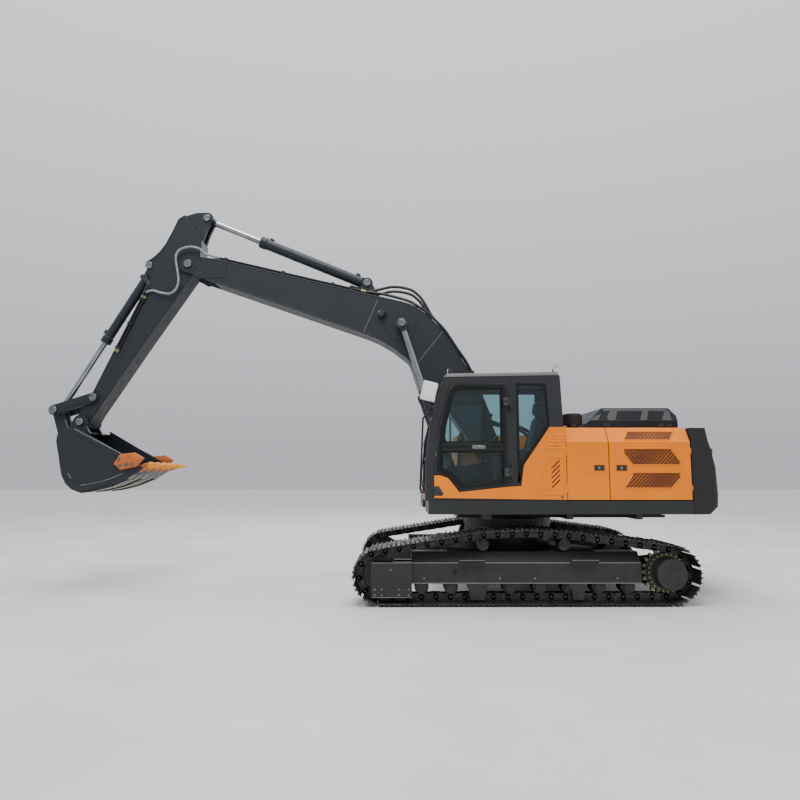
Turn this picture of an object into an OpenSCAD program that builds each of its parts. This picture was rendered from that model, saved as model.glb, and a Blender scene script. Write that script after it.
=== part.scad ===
// Crawler excavator of the 22 tonne class, at real size in millimetres.
// +X forward, +Y to the cab side, +Z up. The origin is on the ground under the swing axis.

/* [Undercarriage] */
// Distance between the centre lines of the two tracks
track_gauge = 2380; // [2300:10:2500]
// Width of a track shoe
shoe_w = 600; // [550:10:650]
// Number of shoes on one track
shoe_count = 50; // [48:1:54]
// Idler axle, forward of the swing axis
idler_x = 1863; // [1800:5:1900]
// Idler radius out to the tips of the lugs
idler_r = 372; // [360:2:380]
// Final drive axle, behind the swing axis
drive_x = 1845; // [1800:5:1900]
// Sprocket radius out to the tips of the lugs
drive_r = 390; // [380:2:400]
// Carrier rollers, before and behind the swing axis
carrier_x = 530; // [480:10:600]
// Height of the carrier roller axles
carrier_z = 745; // [735:5:750]
// Rise of the top run between the carrier rollers
top_rise = 20; // [0:5:30]
// Height of the lugs above the shoe plates
lug_h = 26; // [20:1:30]
// Thickness of a shoe plate
plate_t = 10; // [8:1:14]
// Height of the track links
link_h = 104; // [96:2:108]
// Width over the track links
chain_w = 170; // [150:5:180]
// Diameter of the bottom rollers
roller_d = 150; // [140:5:156]
// Number of bottom rollers on one side
roller_count = 8; // [6:1:9]
// Distance from the first to the last bottom roller
roller_span = 2660; // [2500:20:2700]
// Width of the side frame of a track
side_frame_w = 310; // [300:5:320]
// Lower edge of the side frame
side_frame_z = 268; // [260:2:275]
// Front and rear ends of the side frame
side_frame_x = [-1490, 1457];

/* [Slewing house] */
// Top of the slewing ring
ring_top_z = 1040; // [1030:5:1050]
// Outer diameter of the slewing ring
ring_d = 1290; // [1200:10:1320]
// Width of the house over its side doors
house_w = 2780; // [2760:10:2800]
// Lower edge of the skirt
skirt_z = 1140; // [1130:5:1150]
// Top of the deck that carries the cab and the panels
deck_z = 1315; // [1310:5:1330]
// Front end of the deck
deck_x = 1238; // [1230:2:1245]
// Length of the counterweight
weight_len = 675; // [660:5:690]
// Tail radius about the swing axis
tail_r = 2870; // [2840:10:2900]
// Top of the side panels
panel_top_z = 2270; // [2260:5:2280]
// Height at which the side panels start to lean in
chamfer_z = 2075; // [2060:5:2090]
// How far the side panels lean in
chamfer_in = 125; // [110:5:130]
// Thickness of the side doors
door_t = 30; // [24:2:32]
// Seams of the side doors, behind the swing axis: front, middle
seam_x = [560, 1114];
// Gap along the seams
seam_gap = 12; // [10:1:14]
// Top of the engine hood
hood_top_z = 2580; // [2560:5:2600]
// Half width of the engine hood
hood_y = 900; // [860:10:920]

/* [Cab] */
// Inner side of the cab, from the middle of the machine
cab_y = 445; // [442:1:460]
// Thickness of the cab walls and pillars
cab_wall = 60; // [50:2:65]
// Top of the cab roof at its rear
roof_z = 3005; // [2995:5:3015]
// Thickness of the cab roof
roof_t = 100; // [90:5:110]
// Thickness of the glass
glass_t = 6; // [5:1:8]
// Thickness of the cab door
cab_door_t = 45; // [40:1:48]
// Hinge line of the cab door, forward of the swing axis
cab_hinge_x = 150; // [145:1:155]

/* [Boom] */
// Distance from the foot pin to the arm pin
boom_len = 5691; // [5650:5:5730]
// Position of the foot pin
boom_foot = [110, 1750];
// Angle of the line through the two pins at rest
boom_rest = 33.28; // [33:0.05:33.5]
// Width of the boom
boom_w = 410; // [400:2:414]
// Width over the fork at the boom tip
fork_w = 420; // [416:2:424]
// Gap in the fork for the arm
fork_gap = 356; // [352:2:360]

/* [Arm] */
// Distance from the boom pin to the bucket pin
arm_len = 2866; // [2850:2:2880]
// Angle of the line through the two pins at rest
arm_rest = -58.4; // [-58.6:0.1:-58.2]
// Width of the arm
arm_w = 340; // [336:2:344]
// Rocker pivot, back from the bucket pin and towards the front of the arm
rocker_back = [401, 55];

/* [Bucket] */
// Width of the bucket over its side plates
bucket_w = 1160; // [1100:10:1200]
// Thickness of the bucket's side plates and shell
bucket_t = 24; // [20:1:28]
// Gap between the bucket's hinge plates
ear_gap = 360; // [356:2:366]
// Thickness of the bucket's hinge plates
ear_t = 50; // [40:2:54]
// Bucket link pin, from the bucket pin
link_at = [230, -386];
// Number of teeth
tooth_count = 5; // [4:1:6]

/* [Cylinders and pins] */
// Outer diameter of the boom cylinders
boom_cyl_d = 150; // [140:2:150]
// Rod diameter of the boom cylinders
boom_rod_d = 90; // [80:2:94]
// Middle of a boom cylinder, from the middle of the machine
boom_cyl_y = 345; // [344:1:346]
// Base pin of the boom cylinders
boom_cyl_base = [720, 1300];
// Rod pin of the boom cylinders, in the boom's own frame
boom_cyl_eye = [2410, 995];
// Outer diameter of the arm cylinder
arm_cyl_d = 165; // [150:5:170]
// Rod diameter of the arm cylinder
arm_rod_d = 95; // [85:5:100]
// Base pin of the arm cylinder, in the boom's own frame
arm_cyl_base = [3245, 1290];
// Rod pin of the arm cylinder, in the arm's own frame
arm_cyl_eye = [-785, 200];
// Outer diameter of the bucket cylinder
bucket_cyl_d = 140; // [130:5:145]
// Rod diameter of the bucket cylinder
bucket_rod_d = 85; // [75:5:90]
// Base pin of the bucket cylinder, in the arm's own frame
bucket_cyl_base = [330, 515];
// Rod pin of the bucket cylinder and end of the rocker, from the bucket pin
rocker_eye = [421, 180];
// Diameter of the large pins
pin_d = 90; // [80:2:96]
// Diameter of the cylinder pins
cyl_pin_d = 80; // [70:2:84]
// Width of a cylinder's eye
eye_w = 100; // [90:2:104]
// Radial clearance of the pins
pin_gap = 0.3; // [0.2:0.05:0.5]
// Side clearance between plates that pass each other
side_gap = 7; // [6:0.5:8]

/* [Hidden] */
$fn = 48;

// Colours
orange = [0.89, 0.51, 0.0];
slate = [0.22, 0.24, 0.26];
frame_grey = [0.24, 0.25, 0.24];
black = [0.10, 0.10, 0.11];
chrome = [0.78, 0.79, 0.80];

// Derived track sizes
track_y = track_gauge / 2;
pin_depth = lug_h + plate_t + link_h / 2;
rail_top_z = lug_h + plate_t + link_h;
carrier_d = 140;
seat_gap = 0.3;
side_y = house_w / 2;
weight_x = tail_r - weight_len;
rear_seam = weight_x - 10;
cab_hinge = [cab_hinge_x, side_y + 35];
rocker_at = [arm_len - rocker_back[0], rocker_back[1]];

// Helpers for plates, bars and round parts
module side_plate(points, y0, y1) {
    translate([0, y1, 0])
        rotate([90, 0, 0])
            linear_extrude(y1 - y0)
                polygon(points);
}

module bar(low, high) {
    translate(low)
        cube(high - low);
}

module round_y(at, d, y0, y1) {
    translate([at[0], y1, at[1]])
        rotate([90, 0, 0])
            cylinder(d = d, h = y1 - y0);
}

module both_sides() {
    children();
    mirror([0, 1, 0])
        children();
}

// A tube along a route, mitred at its bends: each ring is the ring before it, moved along the
// straight to the plane that halves the bend
function first_ring(points, d, sides) =
    let (
        along = unit(points[1] - points[0]),
        across = unit(cross(along, abs(along[1]) < 0.9 ? [0, 1, 0] : [1, 0, 0])),
        up = cross(along, across))
    [for (k = [0 : sides - 1])
        let (a = (k + 0.5) * 360 / sides)
        points[0] + (across * cos(a) + up * sin(a)) * d / 2];

function next_ring(points, i, ring) =
    let (
        along = unit(points[i] - points[i - 1]),
        beyond = i < len(points) - 1 ? unit(points[i + 1] - points[i]) : along,
        normal = unit(along + beyond))
    [for (p = ring) p + along * ((points[i] - p) * normal) / (along * normal)];

function ring_at(points, i, d, sides) =
    i == 0 ? first_ring(points, d, sides) : next_ring(points, i, ring_at(points, i - 1, d, sides));

module tube(points, d, sides = 8) {
    last = len(points) - 1;
    corners = [for (i = [0 : last]) each ring_at(points, i, d, sides)];
    walls = [for (i = [0 : last - 1]) for (k = [0 : sides - 1])
        let (a = i * sides + k, b = i * sides + (k + 1) % sides)
        [a, b, b + sides, a + sides]];
    ends = [[for (k = [sides - 1 : -1 : 0]) k], [for (k = [0 : sides - 1]) last * sides + k]];
    polyhedron(corners, concat([for (w = walls) [w[3], w[2], w[1], w[0]]], [for (e = ends) [for (k = e) k]]));
}

function arc(x, y, r, from, to, steps) =
    [for (i = [0 : steps]) let (a = from + (to - from) * i / steps) [x + r * cos(a), y + r * sin(a)]];

function turned(p, a) = [p[0] * cos(a) - p[1] * sin(a), p[0] * sin(a) + p[1] * cos(a)];

function unit(v) = v / norm(v);

// An outline listed anticlockwise, moved inwards by d along every edge
function inset_outline(points, d) =
    let (count = len(points))
    [for (i = [0 : count - 1])
        let (
            before = unit(points[i] - points[(i + count - 1) % count]),
            after = unit(points[(i + 1) % count] - points[i]),
            n1 = [-before[1], before[0]],
            n2 = [-after[1], after[0]])
        points[i] + (n1 + n2) * d / (1 + n1 * n2)];

// Pins of the front linkage at rest
boom_tip = boom_foot + turned([boom_len, 0], boom_rest);
boom_cyl_top = boom_foot + turned(boom_cyl_eye, boom_rest);
arm_cyl_foot = boom_foot + turned(arm_cyl_base, boom_rest);
arm_tip = boom_tip + turned([arm_len, 0], arm_rest);
arm_cyl_top = boom_tip + turned(arm_cyl_eye, arm_rest);
bucket_cyl_foot = boom_tip + turned(bucket_cyl_base, arm_rest);
rocker_pivot = boom_tip + turned(rocker_at, arm_rest);
rocker_end = arm_tip + rocker_eye;
link_pin = arm_tip + link_at;

module in_boom_frame() {
    translate([boom_foot[0], 0, boom_foot[1]])
        rotate([0, -boom_rest, 0])
            children();
}

module in_arm_frame() {
    translate([boom_tip[0], 0, boom_tip[1]])
        rotate([0, -arm_rest, 0])
            children();
}

module in_bucket_frame() {
    translate([arm_tip[0], 0, arm_tip[1]])
        children();
}

// Puts the X axis on the line from one pin to another
module along_pins(from, to) {
    run = to - from;
    translate([from[0], 0, from[1]])
        rotate([0, -atan2(run[1], run[0]), 0])
            children();
}

// Track loop: the wheels that the chain runs around, as [x, z, radius at the link pins]
wheels = [
    [-drive_x, drive_r, drive_r - pin_depth],
    [idler_x, idler_r, idler_r - pin_depth],
    [carrier_x, carrier_z, carrier_d / 2 + link_h / 2],
    [0, carrier_z + top_rise, carrier_d / 2 + link_h / 2],
    [-carrier_x, carrier_z, carrier_d / 2 + link_h / 2]];
wheel_count = len(wheels);
function wheel(i) = wheels[(i + wheel_count) % wheel_count];
function wheel_gap(i) = norm([wheel(i + 1)[0] - wheel(i)[0], wheel(i + 1)[1] - wheel(i)[1]]);
function run_heading(i) = atan2(wheel(i + 1)[1] - wheel(i)[1], wheel(i + 1)[0] - wheel(i)[0]);
function run_normal(i) = run_heading(i) - acos((wheel(i)[2] - wheel(i + 1)[2]) / wheel_gap(i));
function run_length(i) = sqrt(pow(wheel_gap(i), 2) - pow(wheel(i)[2] - wheel(i + 1)[2], 2));
function wrap_angle(i) = (run_normal(i) - run_normal(i - 1) + 720) % 360;
function wrap_length(i) = wheel(i)[2] * wrap_angle(i) * PI / 180;
function loop_length(i = 0) = i == wheel_count ? 0 : wrap_length(i) + run_length(i) + loop_length(i + 1);
function chain_point(s, i = 0) =
    let (w = wheel(i), a = run_normal(i), t = s - wrap_length(i))
    t < 0
        ? let (b = run_normal(i - 1) + s / w[2] * 180 / PI) [w[0] + w[2] * cos(b), w[1] + w[2] * sin(b)]
        : t < run_length(i)
            ? [w[0] + w[2] * cos(a) - t * sin(a), w[1] + w[2] * sin(a) + t * cos(a)]
            : chain_point(t - run_length(i), i + 1);
pitch = loop_length() / shoe_count;
link_pins = [for (i = [0 : shoe_count - 1]) chain_point(i * pitch)];
function link_pin_at(i) = link_pins[(i + shoe_count) % shoe_count];

// A point on shoe i: u along the shoe from its middle, h outwards from the line of the pins
function shoe_point(i, u, h) =
    let (a = link_pin_at(i), b = link_pin_at(i + 1), d = unit(b - a))
    (a + b) / 2 + u * d + h * [d[1], -d[0]];

// The outline through all shoes, moved outwards by h from the line of the pins
function chain_outline(h) =
    [for (i = [0 : shoe_count - 1])
        let (
            before = unit(link_pin_at(i) - link_pin_at(i - 1)),
            after = unit(link_pin_at(i + 1) - link_pin_at(i)),
            n1 = [before[1], -before[0]],
            n2 = [after[1], -after[0]])
        link_pin_at(i) + (n1 + n2) * h / (1 + n1 * n2)];

plate_low = link_h / 2;
plate_high = link_h / 2 + plate_t;
lug_tip = link_h / 2 + plate_t + lug_h;
shoe_half = pitch / 2 - 3;
web_t = 4;
// One shoe as [place along it from its middle, height over the line of the pins], with three bars
edge_bar = 18;
edge_drop = 8;
mid_foot = 8;
mid_tip = 5;
shoe_profile = [
    [-shoe_half, plate_low], [-shoe_half, lug_tip - edge_drop], [-shoe_half + edge_bar, plate_high],
    [-mid_foot, plate_high], [-mid_tip, lug_tip], [mid_tip, lug_tip], [mid_foot, plate_high],
    [shoe_half - edge_bar, plate_high], [shoe_half, lug_tip - edge_drop], [shoe_half, plate_low]];
shoe_outline = [for (i = [0 : shoe_count - 1]) for (p = shoe_profile) shoe_point(i, p[0], p[1])];

module track() {
    color(black)
        difference() {
            union() {
                side_plate(shoe_outline, track_y - shoe_w / 2, track_y + shoe_w / 2);
                side_plate(chain_outline(plate_low - web_t / 2),
                    track_y - chain_w / 2, track_y + chain_w / 2);
            }
            side_plate(chain_outline(-link_h / 2), track_y - shoe_w, track_y + shoe_w);
            for (s = [-1, 1])
                side_plate(chain_outline(plate_low - web_t), track_y + (s < 0 ? -shoe_w : chain_w / 2),
                    track_y + (s < 0 ? -chain_w / 2 : shoe_w));
        }
}

// Radius of a wheel that the flat inner faces of the links ride on
function tread_r(i) = sqrt(pow(wheel(i)[2], 2) - pow(pitch / 2, 2)) - link_h / 2 - seat_gap;
// Radius of a roller at [x, z] that just meets the links above it
function link_clear(i, at) =
    let (a = link_pin_at(i), b = link_pin_at(i + 1), along = unit(b - a), t = (at - a) * along)
    t < -30 || t > norm(b - a) + 30 ? 1000 : abs((at - a) * [along[1], -along[0]]) - link_h / 2;
function carrier_r(at) = min([for (i = [0 : shoe_count - 1]) link_clear(i, at)]) - seat_gap;
hub_gap = chain_w / 2 + 12;
tread = [track_y - chain_w / 2 + 5, track_y + chain_w / 2 - 5];

drive_d = 430;
drive_seat = 150;
module sprocket() {
    at = [-drive_x, drive_r];
    color(frame_grey) {
        round_y(at, 2 * tread_r(0), track_y - 30, track_y + 30);
        round_y(at, 2 * tread_r(0) - 8, track_y + 30, track_y + 75);
        round_y(at, 440, track_y + 75, track_y + 120);
        round_y(at, 386, track_y + 120, track_y + 262);
        round_y(at, drive_d, track_y - drive_seat, track_y - 30);
        // Travel motor behind the plate
        round_y(at, 300, track_y - drive_seat - 190, track_y - drive_seat - 30);
    }
}

module idler() {
    at = [idler_x, idler_r];
    color(frame_grey) {
        round_y(at, 2 * tread_r(1), tread[0], tread[1]);
        round_y(at, 150, track_y - hub_gap, track_y + hub_gap);
    }
}

module roller(at, d) {
    color(frame_grey) {
        round_y(at, d, tread[0], tread[1]);
        round_y(at, 70, track_y - hub_gap, track_y + hub_gap);
    }
}

roller_z = rail_top_z + roller_d / 2 + seat_gap;
belly_z = side_frame_z + 32;
flange_y = chain_w / 2 + 6;
flange_d = 2 * (belly_z - roller_z - 4);

module roller_set() {
    for (i = [0 : roller_count - 1]) {
        x = -roller_span / 2 + roller_span * i / (roller_count - 1);
        roller([x, roller_z], roller_d);
        // Flanges outside the links
        for (s = [-1, 1])
            color(frame_grey)
                round_y([x, roller_z], flange_d, track_y + s * flange_y - 4, track_y + s * flange_y + 4);
        for (s = [-1, 1])
            translate([x - 55, track_y + s * (hub_gap + 16) - 16, roller_z - 45])
                color(frame_grey)
                    cube([110, 32, belly_z - roller_z + 45]);
    }
    for (x = [-carrier_x, carrier_x]) {
        color(frame_grey) {
            round_y([x, carrier_z], 2 * carrier_r([x, carrier_z]), tread[0], tread[1]);
            round_y([x, carrier_z], 80, track_y - hub_gap, track_y + chain_w / 2 + 30);
            bar([x - 60, track_y - hub_gap - 36, frame_top_z], [x + 60, track_y - hub_gap, carrier_z + 50]);
        }
    }
}

frame_out = side_frame_w / 2;
frame_top_z = 655;
// Diamond recess in the side of the beam, and steps as [front end, rear end]
recess_at = [908, 419];
recess_half = 42;
step_x = [[526, 851], [-929, -586]];
step_z = [490, 566];
step_ribs = 6;
module track_frame() {
    color(frame_grey) {
        difference() {
            track_beam();
            side_plate([for (a = [0 : 90 : 270]) recess_at + recess_half * [cos(a), sin(a)]],
                track_y + frame_out - 20, track_y + frame_out + 1);
        }
        // Yoke and cover beside the idler
        for (s = [-1, 1])
            side_plate([
                [side_frame_x[1], 110], [side_frame_x[1] + 500, 110], [side_frame_x[1] + 521, 150],
                [side_frame_x[1] + 521, 500], [side_frame_x[1] + 500, 535], [side_frame_x[1], 535]],
                track_y + (s > 0 ? hub_gap : -hub_gap - 70), track_y + (s > 0 ? hub_gap + 130 : -hub_gap));
        // Plate that carries the final drive
        side_plate(concat(
            [[side_frame_x[0] + 260, side_frame_z + 20], [side_frame_x[0] + 260, 540]],
            arc(-drive_x, drive_r, drive_d / 2, 75, 285, 12)),
            track_y - drive_seat - 30, track_y - drive_seat);
        // Ribbed steps on the outer face
        for (x = step_x) {
            bar([x[0], track_y + frame_out - 10, step_z[0]], [x[1], track_y + frame_out + 60, step_z[1]]);
            for (k = [0 : step_ribs - 1]) {
                at = x[0] + 20 + k * (x[1] - x[0] - 52) / (step_ribs - 1);
                bar([at, track_y + frame_out + 10, step_z[1] - 2],
                    [at + 12, track_y + frame_out + 56, step_z[1] + 6]);
            }
        }
        // Guards beside the lower run of the chain
        for (x = [[455, 775], [-803, -537]])
            side_plate([[x[0] + 70, 60], [x[1] - 70, 60], [x[1] - 50, 175], [x[1], side_frame_z + 12],
                [x[0], side_frame_z + 12], [x[0] + 50, 175]],
                track_y + frame_out - 20, track_y + frame_out);
    }
}

// Box beam with an open belly for the rollers
module track_beam() {
    translate([side_frame_x[0], track_y, 0])
        rotate([90, 0, 90])
            linear_extrude(side_frame_x[1] - side_frame_x[0])
                polygon([
                    [-frame_out, side_frame_z], [-frame_out + 12, side_frame_z],
                    [-frame_out + 12, belly_z], [frame_out - 12, belly_z],
                    [frame_out - 12, side_frame_z], [frame_out, side_frame_z],
                    [frame_out, 512], [frame_out - 25, 540], [40, frame_top_z],
                    [-hub_gap - 50, frame_top_z], [-frame_out, 560]]);
}

leg_z = [330, 690];
// Tow eyes at both ends of the car body
tow_eye_x = 710;
tow_eye_z = leg_z[0] + 80;
tow_bore_d = 60;
module car_body() {
    inner_y = track_y - frame_out;
    color(frame_grey)
        difference() {
            union() {
                for (s = [-1, 1]) {
                    round_y([s * tow_eye_x, tow_eye_z], 150, -25, 25);
                    translate([s * (tow_eye_x - 85), 0, tow_eye_z])
                        cube([170, 50, 150], center = true);
                }
                translate([0, 0, leg_z[0]])
                    linear_extrude(leg_z[1] - leg_z[0])
                        polygon([
                            [560, 0], [620, 300], [980, inner_y], [560, inner_y], [340, 560],
                            [-340, 560], [-560, inner_y], [-980, inner_y], [-620, 300], [-560, 0],
                            [-620, -300], [-980, -inner_y], [-560, -inner_y], [-340, -560],
                            [340, -560], [560, -inner_y], [980, -inner_y], [620, -300]]);
                translate([0, 0, leg_z[1]])
                    cylinder(d = ring_d - 40, h = 240);
            }
            for (s = [-1, 1])
                round_y([s * tow_eye_x, tow_eye_z], tow_bore_d, -40, 40);
            // Centre well under the swivel joint
            translate([0, 0, leg_z[0] - 10])
                cylinder(d = 500, h = leg_z[1] + 260);
        }
}

module slew_ring() {
    color(black)
        translate([0, 0, leg_z[1] + 240])
            difference() {
                cylinder(d = ring_d, h = ring_top_z - leg_z[1] - 240);
                translate([0, 0, -1])
                    cylinder(d = ring_d - 230, h = 200);
            }
}

// House
floor_z = ring_top_z + seat_gap;
web_y = [225, 262];
bracket_y = [boom_cyl_y + eye_w / 2 + side_gap, boom_cyl_y + eye_w / 2 + side_gap + 30];

module main_frame() {
    color(frame_grey) {
        difference() {
            union() {
                bar([-weight_x, -470, floor_z], [boom_cyl_base[0] + 60, 470, floor_z + 34]);
                // Centre webs that hold the boom foot
                both_sides()
                    side_plate(concat(
                        [[-weight_x, floor_z + 34], [boom_cyl_base[0] + 60, floor_z + 34],
                            [boom_cyl_base[0] + 100, boom_cyl_base[1] - 60]],
                        arc(boom_cyl_base[0], boom_cyl_base[1], 100, 0, 80, 6),
                        arc(boom_foot[0], boom_foot[1], 150, 30, 190, 10),
                        [[boom_foot[0] - 420, deck_z], [-weight_x, deck_z]]),
                        web_y[0], web_y[1]);
                both_sides()
                    round_y(boom_cyl_base, 170, web_y[1], boom_cyl_y - eye_w / 2 - side_gap);
                both_sides()
                    side_plate(concat(
                        [[boom_cyl_base[0] - 200, floor_z + 34], [boom_cyl_base[0] + 60, floor_z + 34]],
                        arc(boom_cyl_base[0], boom_cyl_base[1], 90, 0, 150, 8)),
                        bracket_y[0], bracket_y[1]);
                // Decks beside the centre
                both_sides()
                    bar([-weight_x, cab_y, deck_z - 30], [deck_x, side_y - 8, deck_z]);
                bar([-weight_x, -web_y[0], deck_z - 30], [boom_foot[0] - 420, web_y[0], deck_z]);
                both_sides()
                    bar([-weight_x, web_y[1], deck_z - 30], [boom_cyl_base[0] - 260, cab_y, deck_z]);
                // Skirts
                both_sides() {
                    bar([-weight_x, side_y - 48, skirt_z], [deck_x, side_y - 8, deck_z - 30]);
                    bar([deck_x - 40, cab_y, skirt_z], [deck_x, side_y - 48, deck_z - 30]);
                    bar([deck_x - 40, cab_y, skirt_z], [boom_cyl_base[0] + 60, cab_y + 24, deck_z - 30]);
                }
                // Cross beams
                both_sides()
                    for (x = [boom_cyl_base[0] - 260, -600, -1500])
                        bar([x - 40, web_y[1], floor_z + 34], [x + 40, side_y - 48, deck_z - 30]);
            }
            // Well over the swivel joint
            translate([0, 0, floor_z - 1])
                cylinder(d = 420, h = 40);
        }
        round_y(boom_foot, pin_d, -web_y[1] - 30, web_y[1] + 30);
        both_sides()
            round_y(boom_cyl_base, cyl_pin_d, web_y[1], bracket_y[1] + 8);
    }
}

hood_x = [-weight_x - 60, -970];
hood_hinge = [hood_x[0] - 10.5, panel_top_z + 14];
hood_hinge_y = [-560, 560];

// Tail surface as [radius, height], about the swing axis
tail_profile = [
    [weight_x - 60, skirt_z - 8], [tail_r - 97, skirt_z + 2], [tail_r - 10, skirt_z + 97],
    [tail_r, skirt_z + 246], [tail_r - 14, skirt_z + 605], [tail_r - 56, skirt_z + 846],
    [tail_r - 86, skirt_z + 953], [tail_r - 112, panel_top_z - 11], [weight_x - 60, panel_top_z - 3]];
weight_corner = 150;
lift_x = weight_x + 365;
lift_y = [-700, 700];
lift_bore_d = 32;
module counterweight() {
    reach = sqrt(pow(tail_r - weight_corner, 2) - pow(side_y - weight_corner, 2));
    color([0.18, 0.18, 0.18]) {
        seam_knuckles(rear_edge - 8, -weight_x - 20);
        // Lugs and pins of the hood hinges, on the top face
        for (y = hood_hinge_y) {
            round_y(hood_hinge, 10, y - 62, y + 62);
            for (s = [-1, 1])
                translate([0, y + s * 46, 0]) {
                    round_y(hood_hinge, 20, -15, 15);
                    bar([hood_hinge[0] - 10, -15, panel_top_z - 40], [hood_hinge[0] + 10, 15, hood_hinge[1]]);
                }
        }
        difference() {
            intersection() {
                rotate_extrude($fn = 96)
                    polygon(tail_profile);
                translate([0, 0, skirt_z - 20])
                    linear_extrude(panel_top_z - skirt_z + 40)
                        polygon(concat(
                            [[-weight_x, -side_y]],
                            [[-weight_x, side_y]],
                            arc(-reach, side_y - weight_corner, weight_corner, 90, 150, 6),
                            [[-tail_r - 10, side_y - weight_corner - 240],
                                [-tail_r - 10, -side_y + weight_corner + 240]],
                            arc(-reach, -side_y + weight_corner, weight_corner, 210, 270, 6)));
            }
            // Threaded holes for the lifting eyes
            for (y = lift_y)
                translate([-lift_x, y, panel_top_z - 90])
                    cylinder(d = lift_bore_d, h = 100);
        }
    }
}

// Section of a side panel: outer face, chamfer and inner face, as [y, z]
panel_low_z = deck_z + 12;
module panel_section() {
    slope = unit([-chamfer_in, panel_top_z - chamfer_z]);
    inner = [-slope[1], slope[0]] * door_t;
    polygon([
        [side_y, panel_low_z], [side_y, chamfer_z], [side_y - chamfer_in, panel_top_z],
        [side_y - chamfer_in - 32, panel_top_z], [side_y - door_t, chamfer_z - 8],
        [side_y - door_t, panel_low_z]]);
}

module panel_run(x0, x1) {
    translate([x0, 0, 0])
        rotate([90, 0, 90])
            linear_extrude(x1 - x0)
                panel_section();
}

// Small hinges over a seam: knuckles on one side, a barrel on the other, and the pin
knuckle_d = 9;
knuckle_pin = 5;
seam_hinge_z = [1480, 1960];
hinge_line_y = side_y + 3;

// Flat leaf from the hinge line at x to the place on the panel, let into it
module hinge_leaf(x, to, z0, z1) {
    bar([min(x, to), side_y - 8, z0], [max(x, to), side_y + 4, z1]);
}

module seam_knuckles(x, to) {
    for (z = seam_hinge_z) {
        translate([x, hinge_line_y, z - 60])
            cylinder(d = knuckle_pin, h = 120);
        for (s = [-1, 1]) {
            translate([x, hinge_line_y, z + s * 46 - 14])
                cylinder(d = knuckle_d, h = 28);
            hinge_leaf(x, to, z + s * 46 - 14, z + s * 46 + 14);
        }
    }
}

module seam_barrels(x, to) {
    difference() {
        for (z = seam_hinge_z) {
            translate([x, hinge_line_y, z - 31])
                cylinder(d = knuckle_d, h = 62);
            hinge_leaf(x, to, z - 31, z + 31);
        }
        for (z = seam_hinge_z)
            translate([x, hinge_line_y, z - 70])
                cylinder(d = knuckle_pin + 2 * pin_gap, h = 140);
    }
}

latch_depth = 10;
latch_z = [1700, 1774];
module latched_panel(x0, x1, latch_x) {
    difference() {
        panel_run(x0, x1);
        bar([latch_x[0], side_y - latch_depth, latch_z[0]], [latch_x[1], side_y + 10, latch_z[1]]);
    }
    // Lock
    lock_at = [(latch_x[0] + latch_x[1]) / 2, (latch_z[0] + latch_z[1]) / 2];
    round_y(lock_at, 36, side_y - latch_depth - 1, side_y - 2);
}

front_edge = -seam_x[0] - seam_gap / 2;
rear_edge = -rear_seam + seam_gap / 2;
module front_side_door() {
    color(orange) {
        latched_panel(-seam_x[1] + seam_gap / 2, front_edge, [-1052, -918]);
        seam_barrels(front_edge + 5, front_edge - 14);
    }
}

// Grilles: pockets in the rear side door and in the lean above it, with slanted bars, as [x, z] outlines
grilles = [
    [[-1318, 1982], [-1921, 1982], [-2042, 1806], [-2030, 1783], [-1427, 1783], [-1318, 1925]],
    [[-1422, 1670], [-2035, 1670], [-2030, 1610], [-1915, 1483], [-1317, 1483], [-1422, 1640]]];
lean_grille = [[-1400, 160], [-1998, 160], [-1920, 38], [-1337, 38]];
grille_depth = 14;
bar_depth = 10;
bar_pitch = 50;
bar_w = 12;
module on_lean() {
    translate([0, side_y, chamfer_z])
        rotate([atan2(chamfer_in, panel_top_z - chamfer_z), 0, 0])
            children();
}

module slanted_bars(outline, y0, y1) {
    low = [min([for (p = outline) p[0]]), min([for (p = outline) p[1]])];
    high = [max([for (p = outline) p[0]]), max([for (p = outline) p[1]])];
    rise = high[1] - low[1];
    intersection() {
        side_plate(outline, y0, y1);
        for (x = [low[0] + bar_pitch / 2 : bar_pitch : high[0] + rise])
            side_plate([[x, low[1] - 1], [x + bar_w, low[1] - 1], [x + bar_w - rise - 2, high[1] + 1],
                [x - rise - 2, high[1] + 1]], y0 - 1, y1 + 1);
    }
}

module rear_side_door() {
    color(orange) {
        difference() {
            latched_panel(rear_edge, -seam_x[1] - seam_gap / 2, [-1345, -1208]);
            for (g = grilles)
                side_plate(g, side_y - grille_depth, side_y + 1);
            on_lean()
                side_plate(lean_grille, -grille_depth, 1);
        }
        for (g = grilles)
            slanted_bars(g, side_y - grille_depth - 1, side_y - grille_depth + bar_depth);
        on_lean()
            slanted_bars(lean_grille, -grille_depth - 1, bar_depth - grille_depth);
        seam_barrels(rear_edge - 8, rear_edge + 14);
    }
}

pump_x = [-1300, -564];
pump_edge = pump_x[1] - seam_gap / 2;
module pump_door() {
    color(orange)
        mirror([0, 1, 0]) {
            latched_panel(pump_x[0] + seam_gap / 2, pump_edge, [-1200, -1066]);
            seam_barrels(pump_edge + 5, pump_edge - 14);
        }
}

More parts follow.
